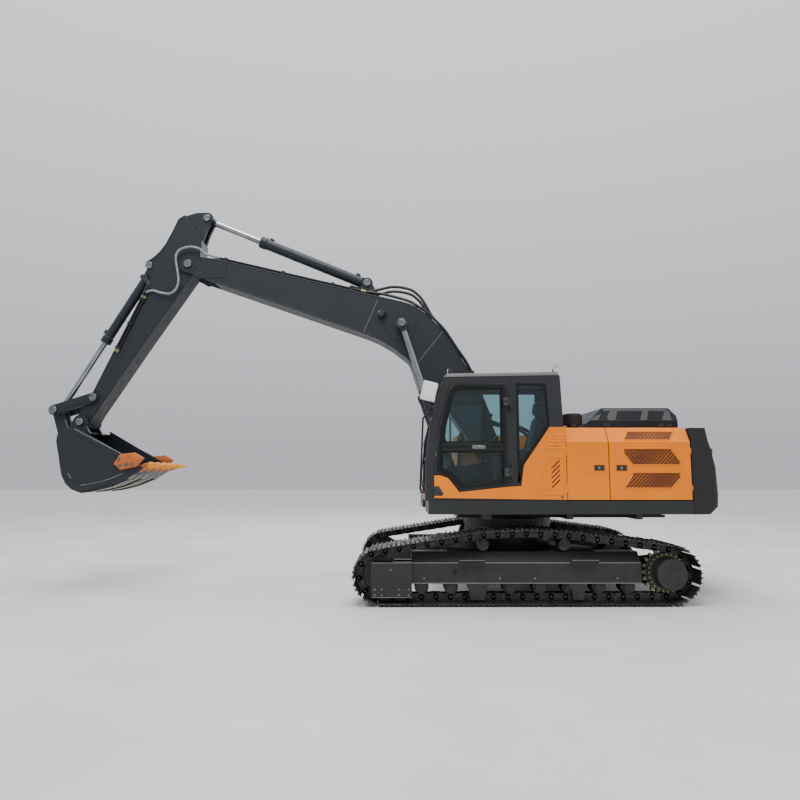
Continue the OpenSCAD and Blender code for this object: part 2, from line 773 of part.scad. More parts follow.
opening_x = [-weight_x + 60, hood_x[1] - 60];
module body_panels() {
    color(orange)
        mirror([0, 1, 0])
            panel_run(-weight_x + 5, pump_x[0] - seam_gap / 2);
    color(slate) {
        difference() {
            bar([-weight_x, -side_y + chamfer_in + 32, panel_top_z - 30],
                [-seam_x[0] - 5, side_y - chamfer_in - 44, panel_top_z]);
            bar([opening_x[0], -hood_y + 100, panel_top_z - 50],
                [opening_x[1], hood_y - 100, panel_top_z + 50]);
        }
        // Bulkhead behind the cab and the tanks
        translate([-seam_x[0] - 30, 0, 0])
            rotate([90, 0, 90])
                linear_extrude(25)
                    polygon([
                        [-side_y + 60, deck_z], [side_y - 190, deck_z], [side_y - 190, panel_top_z - 30],
                        [-side_y + chamfer_in + 70, panel_top_z - 30], [-side_y + 60, chamfer_z - 60]]);
    }
}

// Hood outline, seen from the side, listed anticlockwise, and its section across the machine
hood_outline = [
    [hood_x[0], panel_top_z + seat_gap], [hood_x[1], panel_top_z + seat_gap],
    [hood_x[1] - 20, panel_top_z + 90], [hood_x[1] - 260, hood_top_z], [hood_x[0] + 85, hood_top_z],
    [hood_x[0], hood_top_z - 110]];
hood_lean_z = hood_top_z - 190;
hood_lean_in = 100;
hood_section = [
    [-hood_y, panel_top_z + seat_gap], [hood_y, panel_top_z + seat_gap], [hood_y, hood_lean_z],
    [hood_y - hood_lean_in, hood_top_z], [-hood_y + hood_lean_in, hood_top_z], [-hood_y, hood_lean_z]];
// Insets in the leaning sides, as [x, distance up the lean] outlines
hood_insets = [
    [[-1398, 11], [-1724, 11], [-1791, 158], [-1456, 158]],
    [[-1838, 11], [-2028, 11], [-2102, 158], [-1891, 158]]];
inset_depth = 12;
hood_wall = 30;

module hood_block(outline, section) {
    intersection() {
        side_plate(outline, -hood_y - 10, hood_y + 10);
        translate([hood_x[0] - 10, 0, 0])
            rotate([90, 0, 90])
                linear_extrude(hood_x[1] - hood_x[0] + 20)
                    polygon(section);
    }
}

module hood() {
    color(slate) {
        for (y = hood_hinge_y)
            difference() {
                union() {
                    round_y(hood_hinge, 20, y - 30, y + 30);
                    bar([hood_hinge[0], y - 30, hood_hinge[1] - 5],
                        [hood_x[0] + 15, y + 30, hood_hinge[1] + 10]);
                }
                round_y(hood_hinge, 10 + 2 * pin_gap, y - 40, y + 40);
            }
        difference() {
            hood_block(hood_outline, hood_section);
            hood_block(inset_outline(hood_outline, hood_wall), inset_outline(hood_section, hood_wall));
            bar([hood_x[0] + hood_wall, -hood_y + hood_wall, panel_top_z - 10],
                [hood_x[1] - 40, hood_y - hood_wall, panel_top_z + 60]);
            both_sides()
                translate([0, hood_y, hood_lean_z])
                    rotate([atan2(hood_lean_in, hood_top_z - hood_lean_z), 0, 0])
                        for (g = hood_insets)
                            side_plate(g, -inset_depth, 5);
        }
    }
}

module engine() {
    color([0.35, 0.36, 0.36])
        bar([-1900, -380, deck_z], [-900, 420, 2150]);
}

module radiator() {
    color(black)
        bar([115 - weight_x, 1000, deck_z], [-1220, 1160, 2150]);
}

module engine_stacks() {
    color(black) {
        // Air intake cap at the left front of the hood
        translate([-825, 760, panel_top_z])
            cylinder(d = 150, h = 90);
        translate([-825, 760, panel_top_z + 70]) {
            cylinder(d = 256, h = 150);
            for (k = [0 : 4])
                translate([0, 0, 12 + k * 26])
                    cylinder(d = 272, h = 12);
        }
    }
    // Exhaust pipe at the right rear of the hood
    color([0.4, 0.4, 0.4])
        translate([-1700, -980, panel_top_z])
            cylinder(d = 110, h = 280);
}

tank_y = -side_y + 5;
module hydraulic_tank() {
    color(orange)
        side_tank([pump_edge + 10, 30]);
    color(orange)
        mirror([0, 1, 0])
            seam_knuckles(pump_edge + 5, pump_edge + 24);
}

module side_tank(x) {
    translate([x[0], 0, 0])
        rotate([90, 0, 90])
            linear_extrude(x[1] - x[0])
                polygon([
                    [tank_y, deck_z], [-cab_y - 10, deck_z], [-cab_y - 10, panel_top_z],
                    [-side_y + chamfer_in, panel_top_z], [tank_y, chamfer_z]]);
}

module fuel_tank() {
    color(orange)
        side_tank([42, 690]);
}

module tool_box() {
    color(frame_grey) {
        side_plate([[702, deck_z], [deck_x, deck_z], [deck_x, 1560], [deck_x - 230, 1560],
            [deck_x - 230, 1800], [702, 1800]], tank_y, -cab_y - 10);
    }
}

rail_d = 34;
rail_in = 150;
rail_y = -side_y + rail_in;
// From the middle of a rail to just off its flat side
rail_flat = rail_d / 2 * cos(22.5) + seat_gap;
module handrails() {
    y = rail_y;
    color(black) {
        tube([[deck_x - 60, y, 1560], [deck_x - 60, y, 2180], [deck_x - 160, y, 2560], [300, y, 2760],
            [300, y, panel_top_z]], rail_d);
        tube([[730, y, 1800], [730, y, 2651]], rail_d);
        // Grab rail in front of the cab
        tube([off_cab_front(1420, side_y - 50, seat_gap), off_cab_front(1420, side_y - 50, 50),
            [1345, side_y - 42, 1470], [1305, side_y - 42, 2390], off_cab_front(2440, side_y - 50, 60),
            off_cab_front(2440, side_y - 50, seat_gap)], 26);
    }
}

mirror_h = 260;
module mirrors() {
    color([0.9, 0.9, 0.9])
        translate([1235, side_y + 165, 2720])
            rotate([0, -14, 0])
                bar([-95, -20, -125], [95, 20, 125]);
    color(black) {
        tube([off_cab_front(2530, side_y - 50, seat_gap), off_cab_front(2530, side_y - 50, 50),
            [1240, side_y + 110, 2575], [1245, side_y + 158, 2620]], 24);
        tube([[1000, rail_y - rail_flat, 2580], [1000, rail_y - 80, 2580], [1080, -side_y - 40, 2610],
            [1100, -side_y - 40, 2700]], 24);
    }
    color([0.9, 0.9, 0.9])
        bar([1080, -side_y - 130, 2700], [1120, -side_y + 50, 2700 + mirror_h]);
}

// Lamp that looks forward: foot, housing and lens
module lamp(at) {
    translate(at) {
        bar([-20, -30, 0], [20, 30, 18]);
        bar([-32, -60, 10], [24, 60, 100]);
        translate([20, 0, 55])
            rotate([0, 90, 0])
                cylinder(d = 78, h = 12);
    }
}

module work_lamps() {
    color(black) {
        // On the cab roof
        for (y = [cab_y + 160, side_y - 180])
            lamp([930, y, roof_z - 26]);
        // On the front right box
        lamp([deck_x - 290, -840, 1800]);
    }
}

// Cab outline, seen from the side, listed anticlockwise
cab_rear_x = -537;
cab_outline = [
    [cab_rear_x, deck_z], [1284, deck_z], [1270, 1830], [1213, 2307], [1052, 2883],
    [996, roof_z - 28], [-473, roof_z], [-510, roof_z - 65], [cab_rear_x, 2306]];
// Front face of the cab at height z, and a place off it, square to its lean
function cab_front_x(z) = z < 1830 ? 1284 - 14 * (z - deck_z) / (1830 - deck_z)
    : z < 2307 ? 1270 - 57 * (z - 1830) / 477 : 1213 - 161 * (z - 2307) / 576;
function off_cab_front(z, y, off) =
    let (lean = atan2(cab_front_x(z - 10) - cab_front_x(z + 10), 20))
    [cab_front_x(z) + off * cos(lean), y, z + off * sin(lean)];
cab_out_y = side_y - 20;
cab_inner = inset_outline(cab_outline, cab_wall);
door_outline = [
    [200, 1503], [832, 1433], [942, 1570], [979, 1616], [1089, 1650], [1163, 1650], [1150, 1840],
    [1100, 2300], [965, 2800], [925, 2840], [860, 2850], [200, 2850]];
quarter_outline = [
    [78, 2850], [-300, 2850], [-322, 2820], [-358, 2290], [-190, 2050], [-10, 1790], [40, 1520],
    [78, 1505]];
right_outline = [[-400, 1900], [980, 1700], [1130, 1900], [1090, 2300], [930, 2850], [-400, 2850]];
rear_glass_z = [1950, 2850];
front_glass_z = [1420, 2850];
glass_y = [cab_y + 75, cab_out_y - 75];

cab_hinge_z = [1680, 2600];
module cab_frame() {
    color([0.27, 0.27, 0.28]) {
        // Lugs and pins of the door hinges
        for (z = cab_hinge_z) {
            translate([cab_hinge[0], cab_hinge[1], z - 90])
                cylinder(d = 16, h = 180);
            for (s = [-1, 1])
                translate([0, 0, z + s * 76 - 14]) {
                    translate([cab_hinge[0], cab_hinge[1], 0])
                        cylinder(d = 36, h = 28);
                    bar([cab_hinge[0] - 18, cab_out_y - 5, 0], [cab_hinge[0] + 18, cab_hinge[1], 28]);
                }
        }
        difference() {
            side_plate(cab_outline, cab_y, cab_out_y);
            side_plate(cab_inner, cab_y + cab_wall, cab_out_y - cab_wall);
            // Roof line, door, side windows
            bar([-600, cab_y - 10, roof_z - roof_t], [1300, cab_out_y + 10, roof_z + 20]);
            side_plate(door_outline, cab_out_y - cab_wall - 10, cab_out_y + 10);
            side_plate(quarter_outline, cab_out_y - cab_wall - 10, cab_out_y + 10);
            side_plate(right_outline, cab_y - 10, cab_y + cab_wall + 10);
            // Front and rear windows
            bar([900, glass_y[0], front_glass_z[0]], [1400, glass_y[1], front_glass_z[1]]);
            bar([-700, glass_y[0], rear_glass_z[0]], [-400, glass_y[1], rear_glass_z[1]]);
        }
    }
}

module cab_roof() {
    color([0.45, 0.45, 0.46])
        intersection() {
            side_plate(cab_outline, cab_y, cab_out_y);
            bar([-600, cab_y - 10, roof_z - roof_t], [1300, cab_out_y + 10, roof_z + 20]);
        }
    // Level pad for a beacon
    color([0.45, 0.45, 0.46])
        translate([-300, (cab_y + cab_out_y) / 2, 0])
            bar([-60, -60, roof_z - 20], [60, 60, roof_z + 3]);
}

module cab_glass() {
    color([0.2, 0.4, 0.42]) {
        side_plate(quarter_outline, cab_out_y - 20 - glass_t, cab_out_y - 20);
        side_plate(right_outline, cab_y + 20, cab_y + 20 + glass_t);
        bar([cab_rear_x + 20, glass_y[0], rear_glass_z[0]],
            [cab_rear_x + 20 + glass_t, glass_y[1], rear_glass_z[1]]);
        // Windscreen that follows the front pillars
        intersection() {
            difference() {
                side_plate(inset_outline(cab_outline, 20), glass_y[0], glass_y[1]);
                side_plate(inset_outline(cab_outline, 20 + glass_t), glass_y[0] - 1, glass_y[1] + 1);
            }
            bar([900, glass_y[0] - 5, front_glass_z[0]], [1400, glass_y[1] + 5, front_glass_z[1]]);
        }
    }
}

// Slanted slots and ridges of the side panel: foot of the lowest, pitch and size
slot_from = [-360, 1468];
slot_pitch = 62;
slot_run = [110, 108];
slot_h = 23;
ridge_from = [-292, 1974];
ridge_step = [-27, 44];
ridge_section = [[side_y - 1, 0], [side_y + 1, 8], [side_y + 7, 20], [side_y - 1, 30]];
module cab_side_panel() {
    color(orange)
        seam_knuckles(front_edge + 5, -seam_x[0] + 18);
    color(orange)
        difference() {
            side_plate([
                [-seam_x[0] + 4, deck_z + 12], [1163, deck_z + 36], [1163, 1640], [1089, 1642],
                [985, 1606], [950, 1565], [842, 1425], [200, 1494], [33, 1505], [-4, 1770],
                [-187, 2030], [-352, panel_top_z], [-seam_x[0] + 4, panel_top_z]],
                cab_out_y, side_y);
            for (k = [0 : 4])
                translate([slot_from[0], 0, slot_from[1] + k * slot_pitch])
                    side_plate([
                        [0, 0], [0, slot_h],
                        [-slot_run[0], slot_run[1] + slot_h], [-slot_run[0], slot_run[1]]],
                        side_y - 12, side_y + 1);
        }
    color(orange)
        for (k = [0 : 4])
            translate([-seam_x[0] + 14, 0, ridge_from[1] + k * ridge_step[1]])
                rotate([90, 0, 90])
                    linear_extrude(ridge_from[0] + k * ridge_step[0] + seam_x[0] - 14)
                        polygon(ridge_section);
}

door_gap = 6;
door_edge = inset_outline(door_outline, door_gap);
glass_edge = [
    [265, 1560], [815, 1500], [900, 1600], [955, 1665], [1085, 1710], [1080, 1850], [1030, 2290],
    [925, 2700], [860, 2785], [265, 2785]];
module cab_door() {
    color([0.27, 0.27, 0.28]) {
        difference() {
            side_plate(door_edge, side_y - cab_door_t, side_y);
            difference() {
                side_plate(glass_edge, side_y - 100, side_y + 10);
                bar([200, side_y - cab_door_t, 1963], [1163, side_y, 2054]);
            }
        }
        // Two hinges on the pillar behind the door
        difference() {
            for (z = cab_hinge_z) {
                translate([cab_hinge[0], cab_hinge[1], z - 61])
                    cylinder(d = 36, h = 122);
                bar([cab_hinge[0], cab_hinge[1] - 6, z - 61],
                    [door_outline[0][0] + 50, cab_hinge[1] + 12, z + 61]);
                bar([door_outline[0][0] + 10, side_y - 10, z - 61],
                    [door_outline[0][0] + 50, cab_hinge[1], z + 61]);
            }
            for (z = cab_hinge_z)
                translate([cab_hinge[0], cab_hinge[1], z - 70])
                    cylinder(d = 16 + 2 * pin_gap, h = 140);
        }
    }
}

module cab_door_glass() {
    color([0.2, 0.4, 0.42])
        difference() {
            side_plate(glass_edge, side_y - 30, side_y - 30 + glass_t);
            bar([200, side_y - 60, 1963], [1163, side_y + 10, 2054]);
        }
}

cab_mid = (cab_y + cab_out_y) / 2;
floor_in = deck_z + cab_wall;
// Inner half width of the cab
cab_half = (cab_out_y - cab_y) / 2 - cab_wall;
seat_half = cab_half - 162.5;
module seat() {
    translate([0, cab_mid, floor_in])
        color(black) {
            bar([-150, 30 - seat_half, 0], [250, seat_half - 30, 280]);
            bar([-220, -seat_half, 280], [320, seat_half, 420]);
            // Back, headrest and its posts
            side_plate([[-240, 420], [-90, 420], [-230, 1060], [-340, 1040]], -seat_half, seat_half);
            side_plate([[-345, 1060], [-245, 1075], [-285, 1280], [-370, 1260]], -140, 140);
            for (s = [-1, 1])
                bar([-310, s * 60 - 8, 1000], [-290, s * 60 + 8, 1120]);
        }
}

module controls() {
    color([0.2, 0.2, 0.21]) {
        translate([0, cab_mid, floor_in])
            for (s = [-1, 1]) {
                // Console and joystick
                y = s * (cab_half - 82.5);
                bar([-180, y - 70, 0], [380, y + 70, 520]);
                tube([[290, y, 500], [300, y, 620], [330, y, 760]], 44);
                // Travel lever and pedal
                y2 = s * 95;
                tube([[830, y2, 0], [830, y2, 60], [800, y2, 400], [760, y2, 700]], 30);
                side_plate([[760, 0], [960, 0], [960, 130], [940, 140]], y2 - 45, y2 + 45);
            }
        // Monitor on the right front pillar
        translate([0, cab_y, floor_in]) {
            tube([[1000, 140, 0], [1000, 140, 760]], 40);
            bar([985, 70, 740], [1030, 300, 920]);
        }
    }
}

// Boom outline in its own frame, anticlockwise: the foot pin is at [0, 0], the tip pin on the X axis
boom_foot_r = 150;
fork_r = 135;
boom_outline = concat(
    arc(0, 0, boom_foot_r, 150, 285, 8),
    [[1600, 488], [1860, 552], [2035, 612], [2330, 640], [2600, 625], [2845, 575]],
    arc(boom_len, 0, fork_r, -107, 60, 8),
    [[boom_len - 170, 230], [boom_len - 306, 310], [2610, 1320], [2500, 1352], [2390, 1368], [2200, 1362],
        [2025, 1325], [1830, 1280], [1500, 1135], [1170, 975]]);
// Places on the boom's straight top face, in the boom's own frame
boom_top_slope = atan2(1320 - 310, boom_len - 306 - 2610);
function boom_top_v(u) = 1320 - (u - 2610) * tan(boom_top_slope);
module on_boom_top(u) {
    translate([u, 0, boom_top_v(u)])
        rotate([0, boom_top_slope, 0])
            children();
}

fork_reach = 500;
rod_boss_y = boom_cyl_y - eye_w / 2 - side_gap;
module boom() {
    color(slate)
        in_boom_frame() {
            difference() {
                union() {
                    side_plate(boom_outline, -boom_w / 2, boom_w / 2);
                    round_y([boom_len, 0], 2 * fork_r, -fork_w / 2, fork_w / 2);
                    // Bosses at the boom cylinders' rod pins
                    round_y(boom_cyl_eye, 230, -boom_w / 2 - 14, boom_w / 2 + 14);
                    round_y(boom_cyl_eye, 130, -rod_boss_y, rod_boss_y);
                    // Ears of the arm cylinder
                    both_sides()
                        side_plate(concat(
                            [[2930, boom_top_v(2930) - 8], [3520, boom_top_v(3520) - 60],
                                [3430, 1130], [3320, 1160]],
                            arc(arm_cyl_base[0], arm_cyl_base[1], 90, -70, 160, 10)),
                            eye_w / 2 + side_gap, eye_w / 2 + side_gap + 40);
                }
                round_y([0, 0], pin_d + 2 * pin_gap, -boom_w, boom_w);
                // Fork for the arm
                intersection() {
                    round_y([boom_len, 0], 2 * fork_reach, -fork_gap / 2, fork_gap / 2);
                    bar([boom_len - fork_reach, -fork_gap / 2, -fork_reach],
                        [boom_len + fork_reach, fork_gap / 2, fork_reach]);
                }
            }
            round_y([boom_len, 0], pin_d, -fork_w / 2 - 20, fork_w / 2 + 20);
            round_y(arm_cyl_base, cyl_pin_d, -eye_w / 2 - side_gap - 55, eye_w / 2 + side_gap + 55);
        }
}

pipe_d = 30;
pipe_h = 28;
pipe_y = [-170, -125, 125, 170];
pipe_from = 3215;
pipe_to = boom_len - 350;
clamp_u = [pipe_from + 155, pipe_from + 435, pipe_from + 1175, pipe_to - 90];
pipe_run = (pipe_to - pipe_from) / cos(boom_top_slope);
// A place on a pipe's axis, at distance t from its rear end
function pipe_point(t) =
    [pipe_from + pipe_h * sin(boom_top_slope) + t * cos(boom_top_slope),
        boom_top_v(pipe_from) + pipe_h * cos(boom_top_slope) - t * sin(boom_top_slope)];
module boom_pipes() {
    color(black)
        in_boom_frame() {
            on_boom_top(pipe_from)
                for (y = pipe_y)
                    translate([0, y, pipe_h])
                        rotate([0, 90, 0])
                            cylinder(d = pipe_d, h = pipe_run);
            // Clamps across two pipes
            for (u = clamp_u)
                on_boom_top(u)
                    both_sides()
                        bar([-24, pipe_y[2] - 24, seat_gap], [24, pipe_y[3] + 24, pipe_h + pipe_d / 2 + 8]);
        }
}

// Hoses from the pipes over the crank of the boom and down its back, in the boom's own frame
hose_d = 40;
crank_route = [[3060, 1260], [2868, 1453], [2639, 1560], [2480, 1560], [2341, 1515],
    [2121, 1400], [1990, 1360], [1830, 1312], [1528, 1179], [1162, 1006]];
low_route = [[2950, 1250], [2686, 1345], [2496, 1392], [2226, 1395], [2040, 1362],
    [1830, 1310], [1528, 1178], [1162, 1006]];
back_end = [520, 552];
back_run = unit(back_end - [1162, 1006]);
module boom_hoses() {
    color(black)
        in_boom_frame() {
            for (y = pipe_y) {
                route = abs(y) < 120 ? crank_route : low_route;
                tube([for (p = concat([pipe_point(-seat_gap), pipe_point(-50)], route, [back_end]))
                    [p[0], y, p[1]]], hose_d);
            }
            // Clamps on the boom's back
            for (at = [[1140, 955.3], [560, 553.7]])
                translate([at[0], 0, at[1]])
                    rotate([0, -34.6, 0])
                        both_sides()
                            bar([-25, pipe_y[2] - 30, 0], [25, pipe_y[3] + 30, 62]);
        }
}

module boom_lamp() {
    color(black)
        in_boom_frame()
            translate([2760, boom_w / 2, 980]) {
                bar([-40, 0, -30], [30, 22, 30]);
                bar([-45, 14, -49], [40, 80, 49]);
                translate([36, 47, 0])
                    rotate([0, 90, 0])
                        cylinder(d = 66, h = 14);
            }
}

// Cylinders lie along X, with the base pin at the origin
module barrel(d, rod_d, base_len, gland, y) {
    difference() {
        union() {
            translate([base_len, y, 0])
                rotate([0, 90, 0])
                    cylinder(d = d, h = gland - base_len);
            translate([gland - 95, y, 0])
                rotate([0, 90, 0])
                    cylinder(d = d + 16, h = 95);
            round_y([0, 0], cyl_pin_d + 70, y - eye_w / 2, y + eye_w / 2);
            translate([0, y - eye_w / 2, -d / 2 + 12])
                cube([base_len + 20, eye_w, d - 24]);
        }
        round_y([0, 0], cyl_pin_d + 2 * pin_gap, y - eye_w, y + eye_w);
        translate([base_len + 30, y, 0])
            rotate([0, 90, 0])
                cylinder(d = rod_d + 2 * seat_gap, h = gland);
    }
}

module piston_rod(rod_d, start, length, y) {
    translate([start, y, 0])
        rotate([0, 90, 0])
            cylinder(d = rod_d, h = length - start - 30);
    round_y([length, 0], cyl_pin_d + 80, y - eye_w / 2, y + eye_w / 2);
    translate([length - 130, y, 0])
        rotate([0, 90, 0])
            cylinder(d = eye_w + 4, h = 100);
}

boom_cyl_len = norm(boom_cyl_top - boom_cyl_base);
boom_gland = 1680;
boom_rod_in = 1200;
module boom_cylinder_barrels() {
    color(slate)
        both_sides()
            along_pins(boom_cyl_base, boom_cyl_top)
                barrel(boom_cyl_d, boom_rod_d, 95, boom_gland, boom_cyl_y);
}

module boom_cylinder_rods() {
    color(chrome)
        both_sides()
            along_pins(boom_cyl_base, boom_cyl_top) {
                piston_rod(boom_rod_d, boom_rod_in, boom_cyl_len, boom_cyl_y);
                round_y([boom_cyl_len, 0], cyl_pin_d, boom_cyl_y + eye_w / 2, boom_cyl_y + eye_w / 2 + 14);
            }
}

arm_cyl_len = norm(arm_cyl_top - arm_cyl_foot);
arm_gland = 1816;
arm_rod_in = 950;
module arm_cylinder_barrel() {
    color(slate)
        along_pins(arm_cyl_foot, arm_cyl_top)
            barrel(arm_cyl_d, arm_rod_d, 95, arm_gland, 0);
}

module arm_cylinder_rod() {
    color(chrome)
        along_pins(arm_cyl_foot, arm_cyl_top)
            piston_rod(arm_rod_d, arm_rod_in, arm_cyl_len, 0);
}

// Arm outline in its own frame, anticlockwise: the boom pin is at [0, 0], the bucket pin on the X axis
arm_nose_r = 115;
arm_outline = concat(
    [[-640, 500], [-430, 45], [-310, -20], [-190, -80], [-110, -125], [0, -160], [130, -145], [1455, -112]],
    [[arm_len - 200, -100]],
    arc(arm_len, 0, arm_nose_r, -80, 80, 8),
    [[2500, 112], [2450, 120], [880, 330], [470, 415], [405, 500], [345, 575], [300, 585], [190, 535],
        [50, 502], [-95, 495], [-340, 520], [-525, 550]]);
module arm() {
    boss = arm_w / 2 + 4;
    color(slate)
        in_arm_frame() {
            difference() {
                union() {
                    side_plate(arm_outline, -arm_w / 2, arm_w / 2);
                    round_y([0, 0], 260, -boss, boss);
                    // Ears of the arm cylinder's rod pin
                    both_sides()
                        side_plate(concat(
                            [[-430, 45], [-500, 350], [-640, 500], [-770, 390]],
                            arc(arm_cyl_eye[0], arm_cyl_eye[1], 92, 140, 290, 8),
                            [[-600, 90]]),
                            eye_w / 2 + side_gap, eye_w / 2 + side_gap + 60);
                }
                // Bores of the pins
                for (at = [[0, 0], [arm_len, 0], rocker_at])
                    round_y(at, pin_d + 2 * pin_gap, -arm_w, arm_w);
                // Slot for the base of the bucket cylinder
                side_plate([[150, 420], [480, 408], [480, 640], [150, 640]],
                    -eye_w / 2 - side_gap - 22, eye_w / 2 + side_gap + 22);
                // Slot for the eye of the arm cylinder
                side_plate([[-700, 540], [-700, 60], [-600, 60], [-540, 200], [-560, 540]],
                    -eye_w / 2 - side_gap, eye_w / 2 + side_gap);
            }
            round_y(bucket_cyl_base, cyl_pin_d, -arm_w / 2 - 12, arm_w / 2 + 12);
            // Pin ends at the arm cylinder's eye
            both_sides()
                round_y(arm_cyl_eye, cyl_pin_d, eye_w / 2 + side_gap, eye_w / 2 + side_gap + 78);
        }
}

arm_pipe_d = 26;
arm_pipe_y = arm_w / 2 + 18;
arm_pipe_from = 790;
arm_pipe_to = 1700;
module arm_pipes() {
    slope = atan2(120 - 330, 2450 - 880);
    color(black)
        in_arm_frame()
            both_sides()
                translate([880, 0, 330])
                    rotate([0, -slope, 0]) {
                        for (drop = [26, 66])
                            translate([arm_pipe_from - 880, arm_pipe_y, -drop])
                                rotate([0, 90, 0])
                                    cylinder(d = arm_pipe_d, h = arm_pipe_to - arm_pipe_from);
                        for (u = [arm_pipe_from + 40, 1250, arm_pipe_to - 40])
                            bar([u - 880 - 18, arm_w / 2, -86], [u - 880 + 18, arm_pipe_y + 20, -6]);
                    }
}

bucket_cyl_len = norm(rocker_end - bucket_cyl_foot);
bucket_gland = 1367;
bucket_rod_in = 1130;
module bucket_cylinder_barrel() {
    color(slate)
        along_pins(bucket_cyl_foot, rocker_end)
            barrel(bucket_cyl_d, bucket_rod_d, 90, bucket_gland, 0);
}

module bucket_cylinder_rod() {
    color(chrome)
        along_pins(bucket_cyl_foot, rocker_end)
            piston_rod(bucket_rod_d, bucket_rod_in, bucket_cyl_len, 0);
}

rocker_len = norm(rocker_end - rocker_pivot);
rocker_y = arm_w / 2 + side_gap + 3;
rocker_t = 32;
link_y = [eye_w / 2 + side_gap, eye_w / 2 + side_gap + 50];
module rocker() {
    color(slate)
        along_pins(rocker_pivot, rocker_end) {
            both_sides() {
                side_plate(concat(
                    arc(0, 0, 75, 95, 265, 8),
                    arc(rocker_len, 0, 75, -85, 85, 8)),
                    rocker_y, rocker_y + rocker_t);
                round_y([rocker_len, 0], 120, link_y[1] + side_gap, rocker_y + rocker_t + 12);
            }
            round_y([0, 0], pin_d, -rocker_y - rocker_t - 12, rocker_y + rocker_t + 12);
        }
}

link_len = norm(rocker_end - link_pin);
module h_link() {
    color(slate)
        along_pins(link_pin, rocker_end)
            difference() {
                union() {
                    round_y([0, 0], 140, -ear_gap / 2 + side_gap, ear_gap / 2 - side_gap);
                    both_sides()
                        side_plate(concat(
                            arc(0, 0, 82, 95, 265, 8),
                            arc(link_len, 0, 72, -85, 85, 8)),
                            link_y[0], link_y[1]);
                    bar([40, -link_y[1], -40], [190, link_y[1], 40]);
                }
                round_y([0, 0], cyl_pin_d + 2 * pin_gap, -ear_gap, ear_gap);
            }
}

// Bucket shell in its own frame: the bucket pin is at [0, 0]. Outer line from the lip to the top edge
bucket_line = [
    [-1095, -695], [-860, -850], [-660, -935], [-510, -975], [-360, -1010], [-225, -1025], [-110, -985],
    [-20, -905], [40, -790], [75, -640], [95, -525], [125, -400], [145, -300], [135, -215], [70, -150],
    [-100, -145]];
function thick_line(points, t) =
    let (count = len(points))
    concat(points, [for (i = [count - 1 : -1 : 0])
        let (
            before = unit(points[max(i, 1)] - points[max(i, 1) - 1]),
            after = unit(points[min(i, count - 2) + 1] - points[min(i, count - 2)]),
            n1 = [-before[1], before[0]],
            n2 = [-after[1], after[0]])
        points[i] + (n1 + n2) * t / (1 + n1 * n2)]);

strip_t = 14;
strip_w = 90;
strip_y = [for (k = [-1 : 1]) k * (bucket_w / 2 - 90)];
bucket_side = concat(bucket_line, [[-90, -90], [-785, -490], [-1060, -655]]);
module bucket() {
    color(slate)
        in_bucket_frame() {
            side_plate(thick_line(bucket_line, bucket_t), -bucket_w / 2 + bucket_t, bucket_w / 2 - bucket_t);
            both_sides()
                side_plate(bucket_side, bucket_w / 2 - bucket_t, bucket_w / 2);
            // Wear strips round the heel
            for (y = strip_y)
                side_plate(thick_line([for (i = [1 : 9]) bucket_line[i]], -strip_t),
                    y - strip_w / 2, y + strip_w / 2);
            // Hinge plates
            both_sides()
                side_plate(concat(
                    [[60, -700], [95, -525]],
                    arc(link_at[0], link_at[1], 85, -60, 50, 6),
                    arc(0, 0, 110, 25, 215, 10),
                    [[-150, -170], [60, -190]]),
                    ear_gap / 2, ear_gap / 2 + ear_t);
            round_y([0, 0], pin_d, -ear_gap / 2 - ear_t - 25, ear_gap / 2 + ear_t + 25);
            round_y(link_at, cyl_pin_d, -ear_gap / 2 - ear_t - 20, ear_gap / 2 + ear_t + 20);
        }
}

// Point of a tooth, its heel and the places where it sits on the lip
tooth_w = 95;
module bucket_teeth() {
    color([0.8, 0.52, 0.12])
        in_bucket_frame() {
            for (i = [0 : tooth_count - 1]) {
                y = (bucket_w - tooth_w - 2 * bucket_t) * (i / (tooth_count - 1) - 0.5);
                side_plate([[-1370, -640], [-1340, -655], [-1110, -710], [-1095, -695], [-1080, -668],
                    [-1060, -640], [-1180, -600]], y - tooth_w / 2, y + tooth_w / 2);
            }
            // Side cutters on the outer faces
            both_sides()
                side_plate([
                    [-700, -625], [-785, -490], [-990, -470], [-1130, -550], [-1025, -670], [-795, -715]],
                    bucket_w / 2, bucket_w / 2 + 40);
        }
}

// Hoses over the joint between the boom and the arm, as [u from the boom's tip pin, y, v] in its frame
arm_hose_d = 34;
arm_hose_route = [[-131, 190, 285], [9, 238, 285], [144, 240, 215], [224, 240, 95], [204, 240, -17],
    [91, 240, -146], [-41, 240, -290], [-91, 240, -420], [-51, 236, -538], [83, 225, -603],
    [209, 210, -640], [284, 190, -715]];
module arm_hoses() {
    from_pipe = [for (t = [seat_gap, 40])
        let (p = pipe_point(pipe_run + t))
        [p[0], pipe_y[3], p[1]]];
    color([0.5, 0.52, 0.5])
        in_boom_frame()
            both_sides()
                tube(concat(from_pipe, [for (p = arm_hose_route) p + [boom_len, 0, 0]]), arm_hose_d);
}

// Hoses from the house to the foot of the boom
base_route = [[-480, deck_z], [-480, 1900], [-440, 2140], [-300, 2310], [-80, 2400], [60, 2400]];
module boom_base_hoses() {
    ends = [for (t = [50, seat_gap]) boom_foot + turned(back_end + back_run * t, boom_rest)];
    color(black)
        for (y = pipe_y)
            tube([for (p = concat(base_route, ends)) [p[0], y, p[1]]], hose_d);
}

